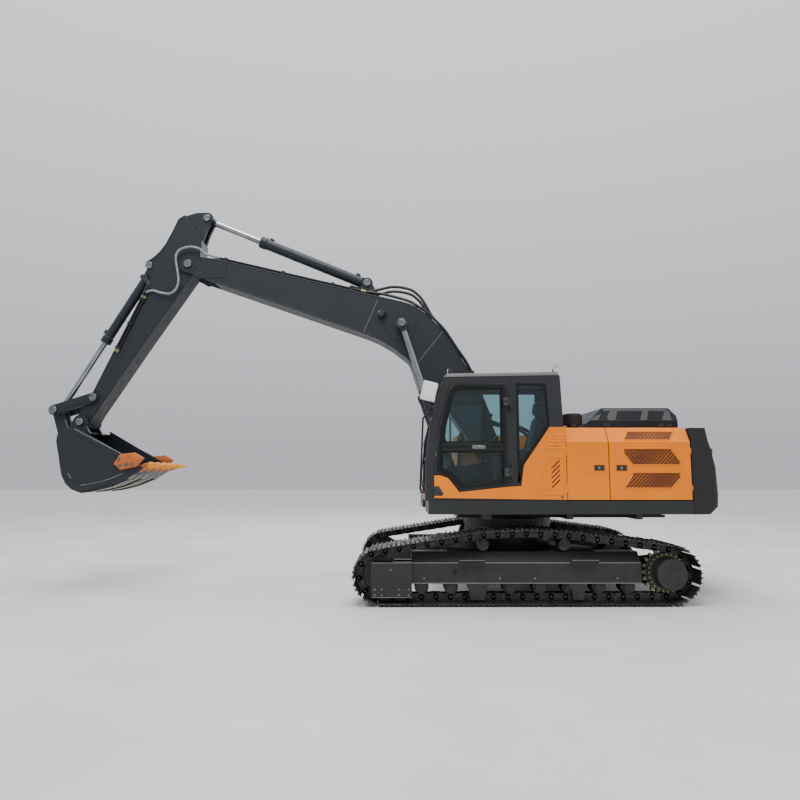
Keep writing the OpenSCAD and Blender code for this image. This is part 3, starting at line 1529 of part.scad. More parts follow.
car_body();
slew_ring();
track_frame();  // track_frame_left
mirror([0, 1, 0]) track_frame();  // track_frame_right
track();  // track_left
mirror([0, 1, 0]) track();  // track_right
both_sides() sprocket();  // sprockets
both_sides() idler();  // idlers
both_sides() roller_set();  // rollers
main_frame();
counterweight();
cab_frame();
cab_roof();
cab_glass();
cab_side_panel();
seat();
controls();
body_panels();
engine();
radiator();
engine_stacks();
fuel_tank();
hydraulic_tank();
tool_box();
handrails();
mirrors();
work_lamps();
cab_door();
cab_door_glass();
front_side_door();
rear_side_door();
pump_door();
hood();
boom();
boom_pipes();
boom_hoses();
boom_lamp();
boom_cylinder_barrels();
boom_cylinder_rods();
arm_cylinder_barrel();
arm_cylinder_rod();
arm();
arm_pipes();
bucket_cylinder_barrel();
bucket_cylinder_rod();
rocker();
h_link();
bucket();
bucket_teeth();
arm_hoses();
boom_base_hoses();
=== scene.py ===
import bpy
import bmesh
from math import acos, asin, atan2, cos, degrees, hypot, pi, radians, sin, sqrt, tan
from mathutils import Matrix, Vector


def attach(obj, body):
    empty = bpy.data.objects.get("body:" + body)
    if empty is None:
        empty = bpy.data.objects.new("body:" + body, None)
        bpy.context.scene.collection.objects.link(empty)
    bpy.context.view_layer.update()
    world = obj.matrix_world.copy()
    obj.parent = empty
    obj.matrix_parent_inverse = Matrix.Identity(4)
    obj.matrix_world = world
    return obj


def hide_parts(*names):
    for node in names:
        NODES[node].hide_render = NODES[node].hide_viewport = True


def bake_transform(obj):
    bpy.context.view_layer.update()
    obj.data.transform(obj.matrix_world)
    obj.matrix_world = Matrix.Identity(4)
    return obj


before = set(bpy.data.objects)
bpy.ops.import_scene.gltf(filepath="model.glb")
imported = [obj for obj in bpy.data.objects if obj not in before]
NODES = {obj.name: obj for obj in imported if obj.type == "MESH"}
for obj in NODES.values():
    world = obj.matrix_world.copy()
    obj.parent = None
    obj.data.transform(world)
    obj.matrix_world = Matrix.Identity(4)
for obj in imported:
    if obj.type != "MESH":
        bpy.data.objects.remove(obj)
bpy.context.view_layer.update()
AHEAD, OUT, UP = (1, 0, 0), (0, 1, 0), (0, 0, 1)
BOTH = (-1, 1)

# Camera, light and floor
TILT, YAW = radians(6.73), radians(0.27)
CAMERA_AT = (1.647, 9.634, 1.652)
FOCAL_PX, PICTURE_PX, SENSOR = 631.3, 800.0, 36.0
FLOOR_HALF = 60.0


def added(ob):
    bpy.context.scene.collection.objects.link(ob)
    return ob


def add_camera():
    data = bpy.data.cameras.new("camera")
    data.sensor_fit = "HORIZONTAL"
    data.sensor_width = SENSOR
    data.lens = SENSOR * FOCAL_PX / PICTURE_PX
    data.clip_end = 300.0
    ob = added(bpy.data.objects.new("camera", data))
    ahead = Vector((-sin(YAW) * cos(TILT), -cos(YAW) * cos(TILT), sin(TILT)))
    right = Vector((-cos(YAW), sin(YAW), 0.0))
    turn = Matrix((right, right.cross(ahead), -ahead)).transposed().to_4x4()
    ob.matrix_world = Matrix.Translation(CAMERA_AT) @ turn
    bpy.context.scene.camera = ob


def add_area(name, at, aim, size, power, colour):
    data = bpy.data.lights.new(name, "AREA")
    data.shape = "DISK"
    data.size, data.energy, data.color = size, power, colour
    ob = added(bpy.data.objects.new(name, data))
    ob.location = at
    ob.rotation_euler = (Vector(aim) - Vector(at)).to_track_quat("-Z", "Y").to_euler()


def feed(tree, node, inputs):
    """Gives each input its value, or links it from a socket."""
    for key, value in inputs.items():
        if isinstance(value, bpy.types.NodeSocket):
            tree.links.new(value, node.inputs[key])
        else:
            node.inputs[key].default_value = value


def add_node(tree, kind, inputs, **settings):
    node = tree.nodes.new(kind)
    for key, value in settings.items():
        setattr(node, key, value)
    feed(tree, node, inputs)
    return node


def map_range(tree, value, low, high, to_low=0.0, to_high=1.0):
    return add_node(tree, "ShaderNodeMapRange", {"Value": value, "From Min": low, "From Max": high,
                                                 "To Min": to_low, "To Max": to_high}).outputs["Result"]


def add_lights():
    """An overcast sky, pale at the horizon and brighter overhead, and three soft lamps."""
    world = bpy.data.worlds.new("soft_sky")
    bpy.context.scene.world = world
    world.use_nodes = True
    tree = world.node_tree
    view = add_node(tree, "ShaderNodeTexCoord", {}).outputs["Generated"]
    height = add_node(tree, "ShaderNodeSeparateXYZ", {0: view}).outputs["Z"]
    feed(tree, tree.nodes["Background"], {"Color": (0.90, 0.94, 1.0, 1.0),
                                          "Strength": map_range(tree, height, 0.05, 0.9, 0.62, 1.5)})
    add_area("overhead", (1.5, 1.0, 16.0), (1.5, 0.0, 0.0), 12.0, 1500.0, (1.0, 0.99, 0.97))
    add_area("key", (3.5, 11.0, 17.0), (1.0, 0.0, 1.5), 7.0, 1500.0, (1.0, 0.98, 0.94))
    add_area("back", (2.0, -14.0, 12.0), (1.5, 0.0, 2.0), 9.0, 700.0, (0.95, 0.98, 1.0))


# Materials
class Shader:
    """A small builder for node materials."""

    def __init__(self, name):
        self.mat = bpy.data.materials.new(name)
        self.mat.use_nodes = True
        self.tree = self.mat.node_tree
        self.coords = self.node("ShaderNodeTexCoord").outputs["Object"]

    def node(self, kind, inputs={}, **settings):
        return add_node(self.tree, kind, inputs, **settings)

    def noise(self, scale, detail, rough=0.6):
        return self.node("ShaderNodeTexNoise", {"Vector": self.coords, "Scale": scale, "Detail": detail,
                                                "Roughness": rough}).outputs["Fac"]

    def wave(self, scale, distortion=0.0):
        return self.node("ShaderNodeTexWave", {"Vector": self.coords, "Scale": scale,
                                               "Distortion": distortion}).outputs["Fac"]

    def span(self, value, *limits):
        return map_range(self.tree, value, *limits)

    def grain(self, scale, detail, low=0.0, high=1.0):
        return self.span(self.noise(scale, detail), 0.3, 0.7, low, high)

    def times(self, a, b):
        return self.node("ShaderNodeMath", {0: a, 1: b}, operation="MULTIPLY").outputs[0]

    def film(self, top):
        """1 on the ground and 0 at that height."""
        z = self.node("ShaderNodeSeparateXYZ", {0: self.coords}).outputs["Z"]
        return self.span(z, 0.0, top, 1.0, 0.0)

    def mix(self, fac, a, b):
        a, b = (v + (1.0,) if isinstance(v, tuple) else v for v in (a, b))
        return self.node("ShaderNodeMix", {"Factor": fac, 6: a, 7: b}, data_type="RGBA").outputs[2]

    def done(self, colour, rough, bump=None, **values):
        """Colour and roughness, a bump of (height, strength, distance), and the shader's own constants."""
        inputs = {key.replace("_", " "): value for key, value in values.items()}
        inputs.update({"Base Color": colour, "Roughness": rough})
        if bump:
            height, strength, distance = bump
            inputs["Normal"] = self.node("ShaderNodeBump", {"Strength": strength, "Distance": distance,
                                                            "Height": height}).outputs["Normal"]
        feed(self.tree, self.tree.nodes["Principled BSDF"], inputs)
        return self.mat


def srgb(*colour):
    return tuple(v / 255.0 / 12.92 if v / 255.0 <= 0.04045 else ((v / 255.0 + 0.055) / 1.055) ** 2.4 for v in colour)


def shade(c, k):
    return tuple(v * k for v in c)


DUST = srgb(142, 132, 115)


def paint(name, c, rough, dust, dust_top, coat, orange_peel=0.06, shine=0.3):
    """Sprayed paint: slow colour drift, a film of dust that thickens towards the ground, orange peel."""
    s = Shader(name)
    drift = s.mix(s.grain(1.7, 3.0), shade(c, 0.90), shade(c, 1.08))
    film = s.times(s.times(s.span(s.noise(6.0, 8.0, 0.7), 0.42, 0.80), s.film(dust_top)), dust)
    specks = s.mix(s.times(s.span(s.noise(70.0, 2.0), 0.66, 0.75), dust * 0.8), drift, DUST)
    return s.done(s.mix(film, specks, DUST), s.grain(11.0, 5.0, rough - 0.06, rough + 0.12),
                  (s.noise(240.0, 2.0), orange_peel, 0.002),
                  Specular_IOR_Level=shine, Coat_Weight=coat, Coat_Roughness=0.12)


def steel(name, c, rough, worn, amount, scale, metal):
    """Bare or rubbed steel with darker scale and brighter worn places."""
    s = Shader(name)
    base = s.mix(s.span(s.noise(3.0, 6.0, 0.7), 0.35, 0.68), shade(c, 0.7), shade(c, 1.15))
    rub = s.times(s.span(s.noise(scale, 8.0, 0.75), 0.50, 0.72), amount)
    return s.done(s.mix(rub, base, srgb(*worn)), s.grain(17.0, 5.0, rough - 0.12, rough + 0.15),
                  (s.noise(60.0, 6.0, 0.7), 0.25, 0.003), Metallic=metal)


def rubber(name, c, rough):
    """Rubber or moulded plastic with a fine grain."""
    s = Shader(name)
    return s.done(s.mix(s.span(s.noise(22.0, 5.0), 0.4, 0.75), c, shade(c, 1.9)),
                  s.grain(30.0, 4.0, rough - 0.08, rough + 0.12), (s.noise(300.0, 2.0), 0.2, 0.001))


def lens(name, c):
    """Moulded clear plastic over a reflector: fine ribs, a hard gloss."""
    s = Shader(name)
    ribs = s.wave(26.0)
    return s.done(s.mix(ribs, shade(c, 0.72), c), s.grain(20.0, 3.0, 0.08, 0.18), (ribs, 0.3, 0.002), Coat_Weight=0.8)


def cloth(name, c):
    s = Shader(name)
    weave = s.wave(700.0 / 6.0, 0.4)
    return s.done(s.mix(s.times(s.noise(700.0, 2.0), weave), c, shade(c, 2.2)), s.grain(40.0, 3.0, 0.8, 0.95),
                  (weave, 0.3, 0.002), Sheen_Weight=0.3)


def chrome(name, c):
    s = Shader(name)
    return s.done(s.mix(s.grain(4.0, 3.0), c, srgb(165, 167, 170)), s.grain(40.0, 6.0, 0.06, 0.16), Metallic=1.0)


def glass(name, c):
    s = Shader(name)
    return s.done(s.mix(s.grain(2.0, 2.0), c, srgb(196, 224, 226)), s.span(s.noise(9.0, 6.0), 0.45, 0.8, 0.01, 0.07),
                  Transmission_Weight=1.0, IOR=1.45)


def floor_stone(name, c):
    s = Shader(name)
    return s.done(s.mix(s.grain(0.6, 6.0), c, srgb(210, 208, 203)), s.grain(4.0, 4.0, 0.82, 0.92))


# Each look with its maker, material name, colour and the maker's other values
MADE = {
    "orange": (paint, "orange_paint", (238, 127, 0), 0.36, 0.02, 1.6, 0.04),
    "slate": (paint, "slate_paint", (35, 38, 45), 0.46, 0.02, 1.5, 0.04),
    "frame": (paint, "frame_paint", (40, 42, 43), 0.42, 0.10, 0.9, 0.05, 0.12),
    "weight": (paint, "weight_paint", (35, 35, 36), 0.55, 0.04, 2.4, 0.0, 0.35),
    "cab": (paint, "cab_paint", (40, 40, 43), 0.36, 0.03, 1.8, 0.2),
    "black": (paint, "black_paint", (30, 30, 31), 0.45, 0.08, 1.6, 0.0),
    "frit": (paint, "glazing_black", (7, 8, 9), 0.16, 0.02, 1.8, 0.3, 0.01),
    # The edge look is a light grey standing for painted highlight on lit edges and seams
    "edge": (paint, "edge_paint", (120, 119, 118), 0.40, 0.04, 1.8, 0.1),
    "white": (paint, "white_shell", (212, 214, 214), 0.35, 0.05, 1.5, 0.2),
    "orange_dark": (paint, "grille_paint", (140, 80, 44), 0.4, 0.1, 1.6, 0.1),
    "seat_base": (paint, "seat_base_paint", (24, 92, 92), 0.40, 0.04, 1.5, 0.1),
    "hood_side": (paint, "hood_side_paint", (38, 40, 46), 0.6, 0.02, 1.5, 0.0, 0.06, 0.1),
    # hood_light is the hood's grey lightened on its top and upward-leaning faces: painted highlight
    "hood_light": (paint, "hood_top_paint", (66, 67, 66), 0.38, 0.04, 3.0, 0.15),
    "track": (steel, "track_steel", (52, 52, 52), 0.42, (112, 110, 106), 0.5, 7.0, 0.6),
    "wear": (steel, "worn_steel", (128, 122, 114), 0.40, (190, 182, 170), 0.5, 9.0, 0.8),
    "tooth": (steel, "tooth_steel", (228, 144, 4), 0.50, (170, 120, 60), 0.3, 12.0, 0.0),
    "cutter": (steel, "cutter_steel", (186, 98, 34), 0.50, (120, 84, 58), 0.4, 8.0, 0.0),
    "cast": (steel, "cast_metal", (82, 82, 80), 0.60, (110, 108, 104), 0.3, 9.0, 0.4),
    "bolt": (steel, "bolt_steel", (120, 118, 112), 0.35, (180, 176, 168), 0.4, 30.0, 0.9),
    "zinc": (steel, "zinc_yellow", (136, 138, 96), 0.40, (170, 170, 130), 0.4, 20.0, 0.5),
    "strap_steel": (steel, "rubbed_strap", (126, 126, 112), 0.42, (176, 172, 150), 0.5, 9.0, 0.7),
    "silver": (steel, "silver_lock", (128, 130, 130), 0.3, (176, 176, 172), 0.4, 20.0, 0.9),
    "rubber": (rubber, "black_rubber", (22, 22, 23), 0.55),
    "hose": (rubber, "grey_hose", (120, 124, 122), 0.5),
    "plastic": (rubber, "black_plastic", (34, 34, 35), 0.5),
    "screen": (rubber, "dark_screen", (14, 22, 26), 0.2),
    "seat": (cloth, "seat_fabric", (36, 40, 46)),
    "strap": (cloth, "yellow_webbing", (196, 168, 30)),
    "lens": (lens, "lamp_lens", (225, 228, 226)),
    "red_lens": (lens, "rear_lens", (178, 24, 16)),
    "chrome": (chrome, "chrome_rod", (138, 141, 145)),
    "glass": (glass, "tinted_glass", (182, 214, 218)),
    "floor": (floor_stone, "pale_floor", (196, 194, 188)),
}
M = {look: make(name, srgb(*c), *rest) for look, (make, name, c, *rest) in MADE.items()}

LOOKS = {
    "orange": "cab_side_panel body_panels fuel_tank hydraulic_tank tool_box front_side_door rear_side_door pump_door",
    "hood_side": "hood",
    "slate": "boom boom_cylinder_barrels arm_cylinder_barrel arm bucket_cylinder_barrel rocker h_link bucket",
    "frame": "car_body slew_ring track_frame_left track_frame_right sprockets idlers rollers main_frame",
    "weight": "counterweight",
    "cab": "cab_frame cab_roof cab_door",
    "glass": "cab_glass cab_door_glass",
    "plastic": "controls engine_stacks mirrors work_lamps boom_lamp",
    "black": "radiator handrails boom_pipes arm_pipes",
    "cast": "engine",
    "seat": "seat",
    "track": "track_left track_right",
    "chrome": "boom_cylinder_rods arm_cylinder_rod bucket_cylinder_rod",
    "tooth": "bucket_teeth",
    "rubber": "boom_hoses boom_base_hoses",
    "hose": "arm_hoses",
}


def dress_nodes():
    for look, names in LOOKS.items():
        for name in names.split():
            mesh = NODES[name].data
            mesh.materials.clear()
            mesh.materials.append(M[look])


def add_floor():
    mesh = bpy.data.meshes.new("floor")
    r = FLOOR_HALF
    mesh.from_pydata([(-r, -r, 0.0), (r, -r, 0.0), (r, r, 0.0), (-r, r, 0.0)], [], [(0, 1, 2, 3)])
    mesh.materials.append(M["floor"])
    added(bpy.data.objects.new("floor", mesh))


# Mesh tools: millimetres in, metres out
def unit(v):
    return Vector(v).normalized()


def closed(points):
    """Each point with the next one, round to the first."""
    return zip(points, [*points[1:], points[0]])


def ordered(points):
    """The points, anticlockwise."""
    area = sum(a[0] * b[1] - b[0] * a[1] for a, b in closed(points))
    return list(points) if area > 0 else list(points)[::-1]


def circle(n, r, start=0.0):
    """n points round a circle, the first one at start steps."""
    turns = [2 * pi * (k + start) / n for k in range(n)]
    return [(r * cos(a), r * sin(a)) for a in turns]


def arc(x, z, r, a0, a1, steps):
    turns = [radians(a0 + (a1 - a0) * k / steps) for k in range(steps + 1)]
    return [(x + r * cos(a), z + r * sin(a)) for a in turns]


def spline(points, steps):
    """Points along a smooth curve through the given ones."""
    p = [Vector(q) for q in points]
    p = [p[0] * 2 - p[1], *p, p[-1] * 2 - p[-2]]
    out = []
    for a, b, c, d in zip(p, p[1:], p[2:], p[3:]):
        for k in range(steps):
            t = k / steps
            out.append(0.5 * ((2 * b) + (c - a) * t + (2 * a - 5 * b + 4 * c - d) * t * t
                              + (3 * b - a - 3 * c + d) * t ** 3))
    return out + [p[-2]]


class Piece:
    """One object under construction: everything added becomes one mesh with one look.

    With sides=BOTH, each part is added twice, the second time mirrored in Y."""
    waiting = []

    def __init__(self, name, body, look, place=None, sides=(1,), replaces=None, angle=32.0):
        self.name, self.body, self.look, self.sides = name, body, look, sides
        self.replaces, self.angle = replaces, angle
        self.place = place or Matrix.Identity(4)
        self.bm = bmesh.new()
        Piece.waiting.append(self)

    def take(self, part, bevel=0.0, segments=1):
        """Bevels a part's sharp edges and adds it to the piece."""
        bmesh.ops.recalc_face_normals(part, faces=part.faces)
        if bevel:
            edges = [e for e in part.edges if len(e.link_faces) == 2 and e.calc_face_angle(0.0) > radians(30.0)]
            bmesh.ops.bevel(part, geom=edges, offset=bevel, segments=segments, profile=0.5, affect="EDGES",
                            clamp_overlap=True)
        for s in self.sides:
            copy, place = part.copy(), self.place @ Matrix.Scale(s, 4, OUT)
            copy.transform(place)
            if place.determinant() < 0:
                bmesh.ops.reverse_faces(copy, faces=copy.faces)
            scratch = bpy.data.meshes.new("scratch")
            copy.to_mesh(scratch)
            copy.free()
            self.bm.from_mesh(scratch)
            bpy.data.meshes.remove(scratch)
        part.free()

    def box(self, low, high, bevel=0.0, segments=1):
        part = bmesh.new()
        bmesh.ops.create_cube(part, size=1.0)
        for v in part.verts:
            v.co = [a + (b - a) * (t + 0.5) for a, b, t in zip(low, high, v.co)]
        self.take(part, bevel, segments)

    def prism(self, outline, y0, y1, bevel=0.0, segments=1):
        """An outline in X and Z, carried from y0 to y1."""
        part = bmesh.new()
        near, far = ([part.verts.new((x, y, z)) for x, z in ordered(outline)] for y in (y0, y1))
        part.faces.new(near)
        part.faces.new(far[::-1])
        for (a, b), (c, d) in zip(closed(near), closed(far)):
            part.faces.new((a, c, d, b))
        self.take(part, bevel, segments)

    def loft(self, rings, hollow=False):
        """Skin through rings of points. A hollow one closes on its first ring and has no end faces."""
        part = bmesh.new()
        made = [[part.verts.new(p) for p in ring] for ring in rings]
        for a, b in closed(made) if hollow else zip(made, made[1:]):
            for (a0, a1), (b0, b1) in zip(closed(a), closed(b)):
                part.faces.new((a0, a1, b1, b0))
        if not hollow:
            part.faces.new(made[0][::-1])
            part.faces.new(made[-1])
        self.take(part)

    def lathe(self, at, axis, profile, sides=32, hollow=False):
        """A profile of (distance along the axis, radius) turned about the axis."""
        at, axis = Vector(at), unit(axis)
        across = unit(axis.cross(UP if abs(axis.z) < 0.9 else AHEAD))
        up = axis.cross(across)
        self.loft([[at + axis * d + across * u + up * v for u, v in circle(sides, max(r, 0.01))]
                   for d, r in profile], hollow)

    def rod(self, a, b, r, sides=20, edge=0.0):
        length = (Vector(b) - Vector(a)).length
        ends = [(0, r - edge), (edge, r), (length - edge, r), (length, r - edge)] if edge else [(0, r), (length, r)]
        self.lathe(a, Vector(b) - Vector(a), ends, sides)

    def seam(self, path, y, r, sides):
        """Rods from point to point of a path in X and Z."""
        for a, b in zip(path, path[1:]):
            self.rod((a[0], y, a[1]), (b[0], y, b[1]), r, sides)

    def hexagon(self, at, axis, across, height):
        """A bolt's head with a washer under it."""
        self.lathe(at, axis, [(0, across * 0.62), (height * 0.18, across * 0.62)], 16)
        self.lathe(Vector(at) + unit(axis) * height * 0.18, axis,
                   [(0, across * 0.57), (height * 0.65, across * 0.57), (height * 0.82, across * 0.48)], 6)

    def sweep(self, points, r, sides=12, steps=6):
        """A round hose or pipe along a smooth route."""
        path = spline(points, steps)
        rings, side = [], None
        for before, p, after in zip([path[0], *path], path, [*path[1:], path[-1]]):
            t = unit(after - before)
            if side is None:
                side = unit(t.cross(OUT if abs(t.y) < 0.9 else UP))
            side = unit(side - t * side.dot(t))
            up = t.cross(side)
            rings.append([p + side * u + up * v for u, v in circle(sides, r)])
        self.loft(rings)

    def done(self):
        """Makes the object, in metres, on its body."""
        Piece.waiting.remove(self)
        mesh = bpy.data.meshes.new(self.name)
        self.bm.transform(Matrix.Scale(0.001, 4))
        self.bm.to_mesh(mesh)
        self.bm.free()
        mesh.polygons.foreach_set("use_smooth", [True] * len(mesh.polygons))
        mesh.set_sharp_from_angle(angle=radians(self.angle))
        mesh.materials.append(M[self.look])
        ob = added(bpy.data.objects.new(self.name, mesh))
        if self.body:
            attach(ob, self.body)
        if self.replaces:
            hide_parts(self.replaces)
        return ob


def grown(points, d):
    """An outline moved outwards by d."""
    pts = [Vector(p) for p in ordered(points)]
    out = []
    for before, p, after in zip([pts[-1], *pts], pts, [*pts[1:], pts[0]]):
        a, b = unit(p - before), unit(after - p)
        n1, n2 = Vector((a.y, -a.x)), Vector((b.y, -b.x))
        out.append(tuple(p + (n1 + n2) * d / (1 + n1.dot(n2))))
    return out


def band(piece, outline, width, y0, y1, bevel=0.0):
    """A closed band of that width outside an outline."""
    for (a, b), (c, d) in zip(closed(ordered(outline)), closed(grown(outline, width))):
        piece.prism([a, b, d, c], y0, y1, bevel)


def hull(points):
    def half(seq):
        h = []
        for p in seq:
            while len(h) > 1 and ((h[-1][0] - h[-2][0]) * (p[1] - h[-2][1])
                                  - (h[-1][1] - h[-2][1]) * (p[0] - h[-2][0])) <= 0:
                h.pop()
            h.append(p)
        return h[:-1]
    pts = sorted(points)
    return half(pts) + half(pts[::-1])


def lattice(piece, outline, y0, y1, step, width, slope):
    """Crossing slanted bars inside a convex outline."""
    pts = [Vector(p) for p in hull(outline)]
    xs, zs = [p.x for p in pts], [p.y for p in pts]
    mid = Vector(((min(xs) + max(xs)) / 2, (min(zs) + max(zs)) / 2))
    reach = hypot(max(xs) - min(xs), max(zs) - min(zs))
    count = int(reach / step) + 1
    for angle in (radians(slope), radians(-slope)):
        d = Vector((cos(angle), sin(angle)))
        across = Vector((-d.y, d.x))
        for k in range(-count, count + 1):
            o = mid + across * k * step
            t0, t1 = -reach, reach
            for a, b in closed(pts):
                n = Vector((-(b - a).y, (b - a).x))
                den, num = n.dot(d), n.dot(o - a)
                if abs(den) < 1e-9:
                    if num < 0:
                        t1 = t0 - 1
                elif den > 0:
                    t0 = max(t0, -num / den)
                else:
                    t1 = min(t1, -num / den)
            if t1 - t0 > width * 2:
                a, b, h = o + d * t0, o + d * t1, across * width / 2
                piece.prism([a - h, b - h, b + h, a + h], y0, y1)


def frame_at(origin, turn):
    """A frame whose X axis is turned up by that many degrees in the XZ plane."""
    return Matrix.Translation((origin[0], 0, origin[1])) @ Matrix.Rotation(radians(-turn), 4, "Y")


def point_in(origin, turn, u, v):
    a = radians(turn)
    return (origin[0] + u * cos(a) - v * sin(a), origin[1] + u * sin(a) + v * cos(a))


def length_of(a, b):
    return hypot(b[0] - a[0], b[1] - a[1])


def along(a, b):
    """A frame with its X axis from one pin to the other."""
    return frame_at(a, degrees(atan2(b[1] - a[1], b[0] - a[0])))


def on_line(line, z):
    """The first value of a line of (value, height) points at a height."""
    for (x0, z0), (x1, z1) in zip(line, line[1:]):
        if z <= z1:
            return x0 + (x1 - x0) * (z - z0) / (z1 - z0)
    return line[-1][0]


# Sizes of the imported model, in millimetres
SIDE, SKIRT_Z, PANEL_TOP = 1390.0, 1140.0, 2270.0
TRACK_Y, SHOE_W, LINK_H, PLATE_T, LUG_H, SHOES = 1190.0, 600.0, 104.0, 10.0, 26.0, 50
DRIVE = (-1845.0, 390.0)
BOOM_FOOT, BOOM_LEN, BOOM_REST = (110.0, 1750.0), 5691.0, 33.28
ARM_LEN, ARM_REST = 2866.0, -58.4


def boom_point(u, v):
    return point_in(BOOM_FOOT, BOOM_REST, u, v)


BOOM_TIP = boom_point(BOOM_LEN, 0)


def arm_point(u, v):
    return point_in(BOOM_TIP, ARM_REST, u, v)


BUCKET_PIN = arm_point(ARM_LEN, 0)
IN_BOOM, IN_ARM, IN_BUCKET = frame_at(BOOM_FOOT, BOOM_REST), frame_at(BOOM_TIP, ARM_REST), frame_at(BUCKET_PIN, 0)


# Tracks
PIN_DEPTH = LUG_H + PLATE_T + LINK_H / 2
WHEELS = [(*DRIVE, DRIVE[1] - PIN_DEPTH), (1863.0, 372.0, 372.0 - PIN_DEPTH), (530.0, 745.0, 122.0),
          (0.0, 765.0, 122.0), (-530.0, 745.0, 122.0)]


def belt():
    """Pins of the chain around its wheels, and their pitch."""
    leans, runs = [], []
    for (x0, z0, r0), (x1, z1, r1) in closed(WHEELS):
        gap = hypot(x1 - x0, z1 - z0)
        leans.append(atan2(z1 - z0, x1 - x0) - acos((r0 - r1) / gap))
        runs.append(sqrt(gap ** 2 - (r0 - r1) ** 2))
    wraps = [((lean - before) % (2 * pi)) * wheel[2] for lean, before, wheel in zip(leans, leans[-1:] + leans, WHEELS)]
    pitch = (sum(wraps) + sum(runs)) / SHOES
    pins = []
    for k in range(SHOES):
        s = k * pitch
        for (x, z, r), before, lean, wrap, run in zip(WHEELS, leans[-1:] + leans, leans, wraps, runs):
            if s < wrap:
                pins.append(Vector((x + r * cos(before + s / r), z + r * sin(before + s / r))))
                break
            s -= wrap
            if s < run:
                pins.append(Vector((x + r * cos(lean) - s * sin(lean), z + r * sin(lean) + s * cos(lean))))
                break
            s -= run
    return pins, pitch


def add_tracks():
    pins, pitch = belt()
    half, low, high = pitch / 2, LINK_H / 2, LINK_H / 2 + PLATE_T
    tip = high + LUG_H
    # Section of a three-bar shoe: a lip that laps under the next shoe, and three bars
    section = [(-half - 6, low - 1), (-half - 4, low + 7), (-half + 14, high), (-half + 22, high),
               (-half + 27, tip - 6), (-half + 37, tip - 6), (-half + 43, high + 1), (-13, high + 1), (-7, tip),
               (7, tip), (13, high + 1), (half - 43, high + 1), (half - 37, tip - 5), (half - 27, tip - 5),
               (half - 20, high), (half - 3, high - 6), (half - 4, low - 2), (half - 14, low)]
    link = [(-half - 30, -30), (-half - 10, -46), (-half + 30, -50), (0, -44), (half - 40, -50), (half + 12, -46),
            (half + 34, -24), (half + 34, 20), (half + 14, 40), (half - 30, 50), (-half + 30, 52), (-half - 20, 46),
            (-half - 34, 16)]
    for s, side in ((1, "left"), (-1, "right")):
        place = Matrix.Translation((0, s * TRACK_Y, 0))
        shoes = Piece("track_shoes_" + side, "undercarriage", "track", place, replaces="track_" + side)
        chain = Piece("track_chain_" + side, "undercarriage", "track", place, replaces="track_" + side)
        bolts = Piece("track_bolts_" + side, "undercarriage", "wear", place)
        for a, b in closed(pins):
            mid, d = (a + b) / 2, unit(b - a)
            out = Vector((d.y, -d.x))
            shoes.prism([mid + d * u + out * h for u, h in section], -SHOE_W / 2, SHOE_W / 2, 2.0)
            for y0, y1 in ((-70, -52), (62, 80)):
                chain.prism([mid + d * u + out * h * 0.98 for u, h in link], y0, y1, 2.0)
            for y in (-52, 52):
                for u in (-23, 53):
                    x, z = mid + d * u + out * high
                    bolts.hexagon((x, y, z), (out.x, 0, out.y), 24, 15)
            chain.rod((a.x, -84, a.y), (a.x, 84, a.y), 20, 14, 2)
            chain.rod((a.x, -52, a.y), (a.x, 52, a.y), 31, 14)


# Undercarriage
BEAM_Y, COVER_Y = 155.0, 227.0
STEPS = ((526, 851), (-929, -586))


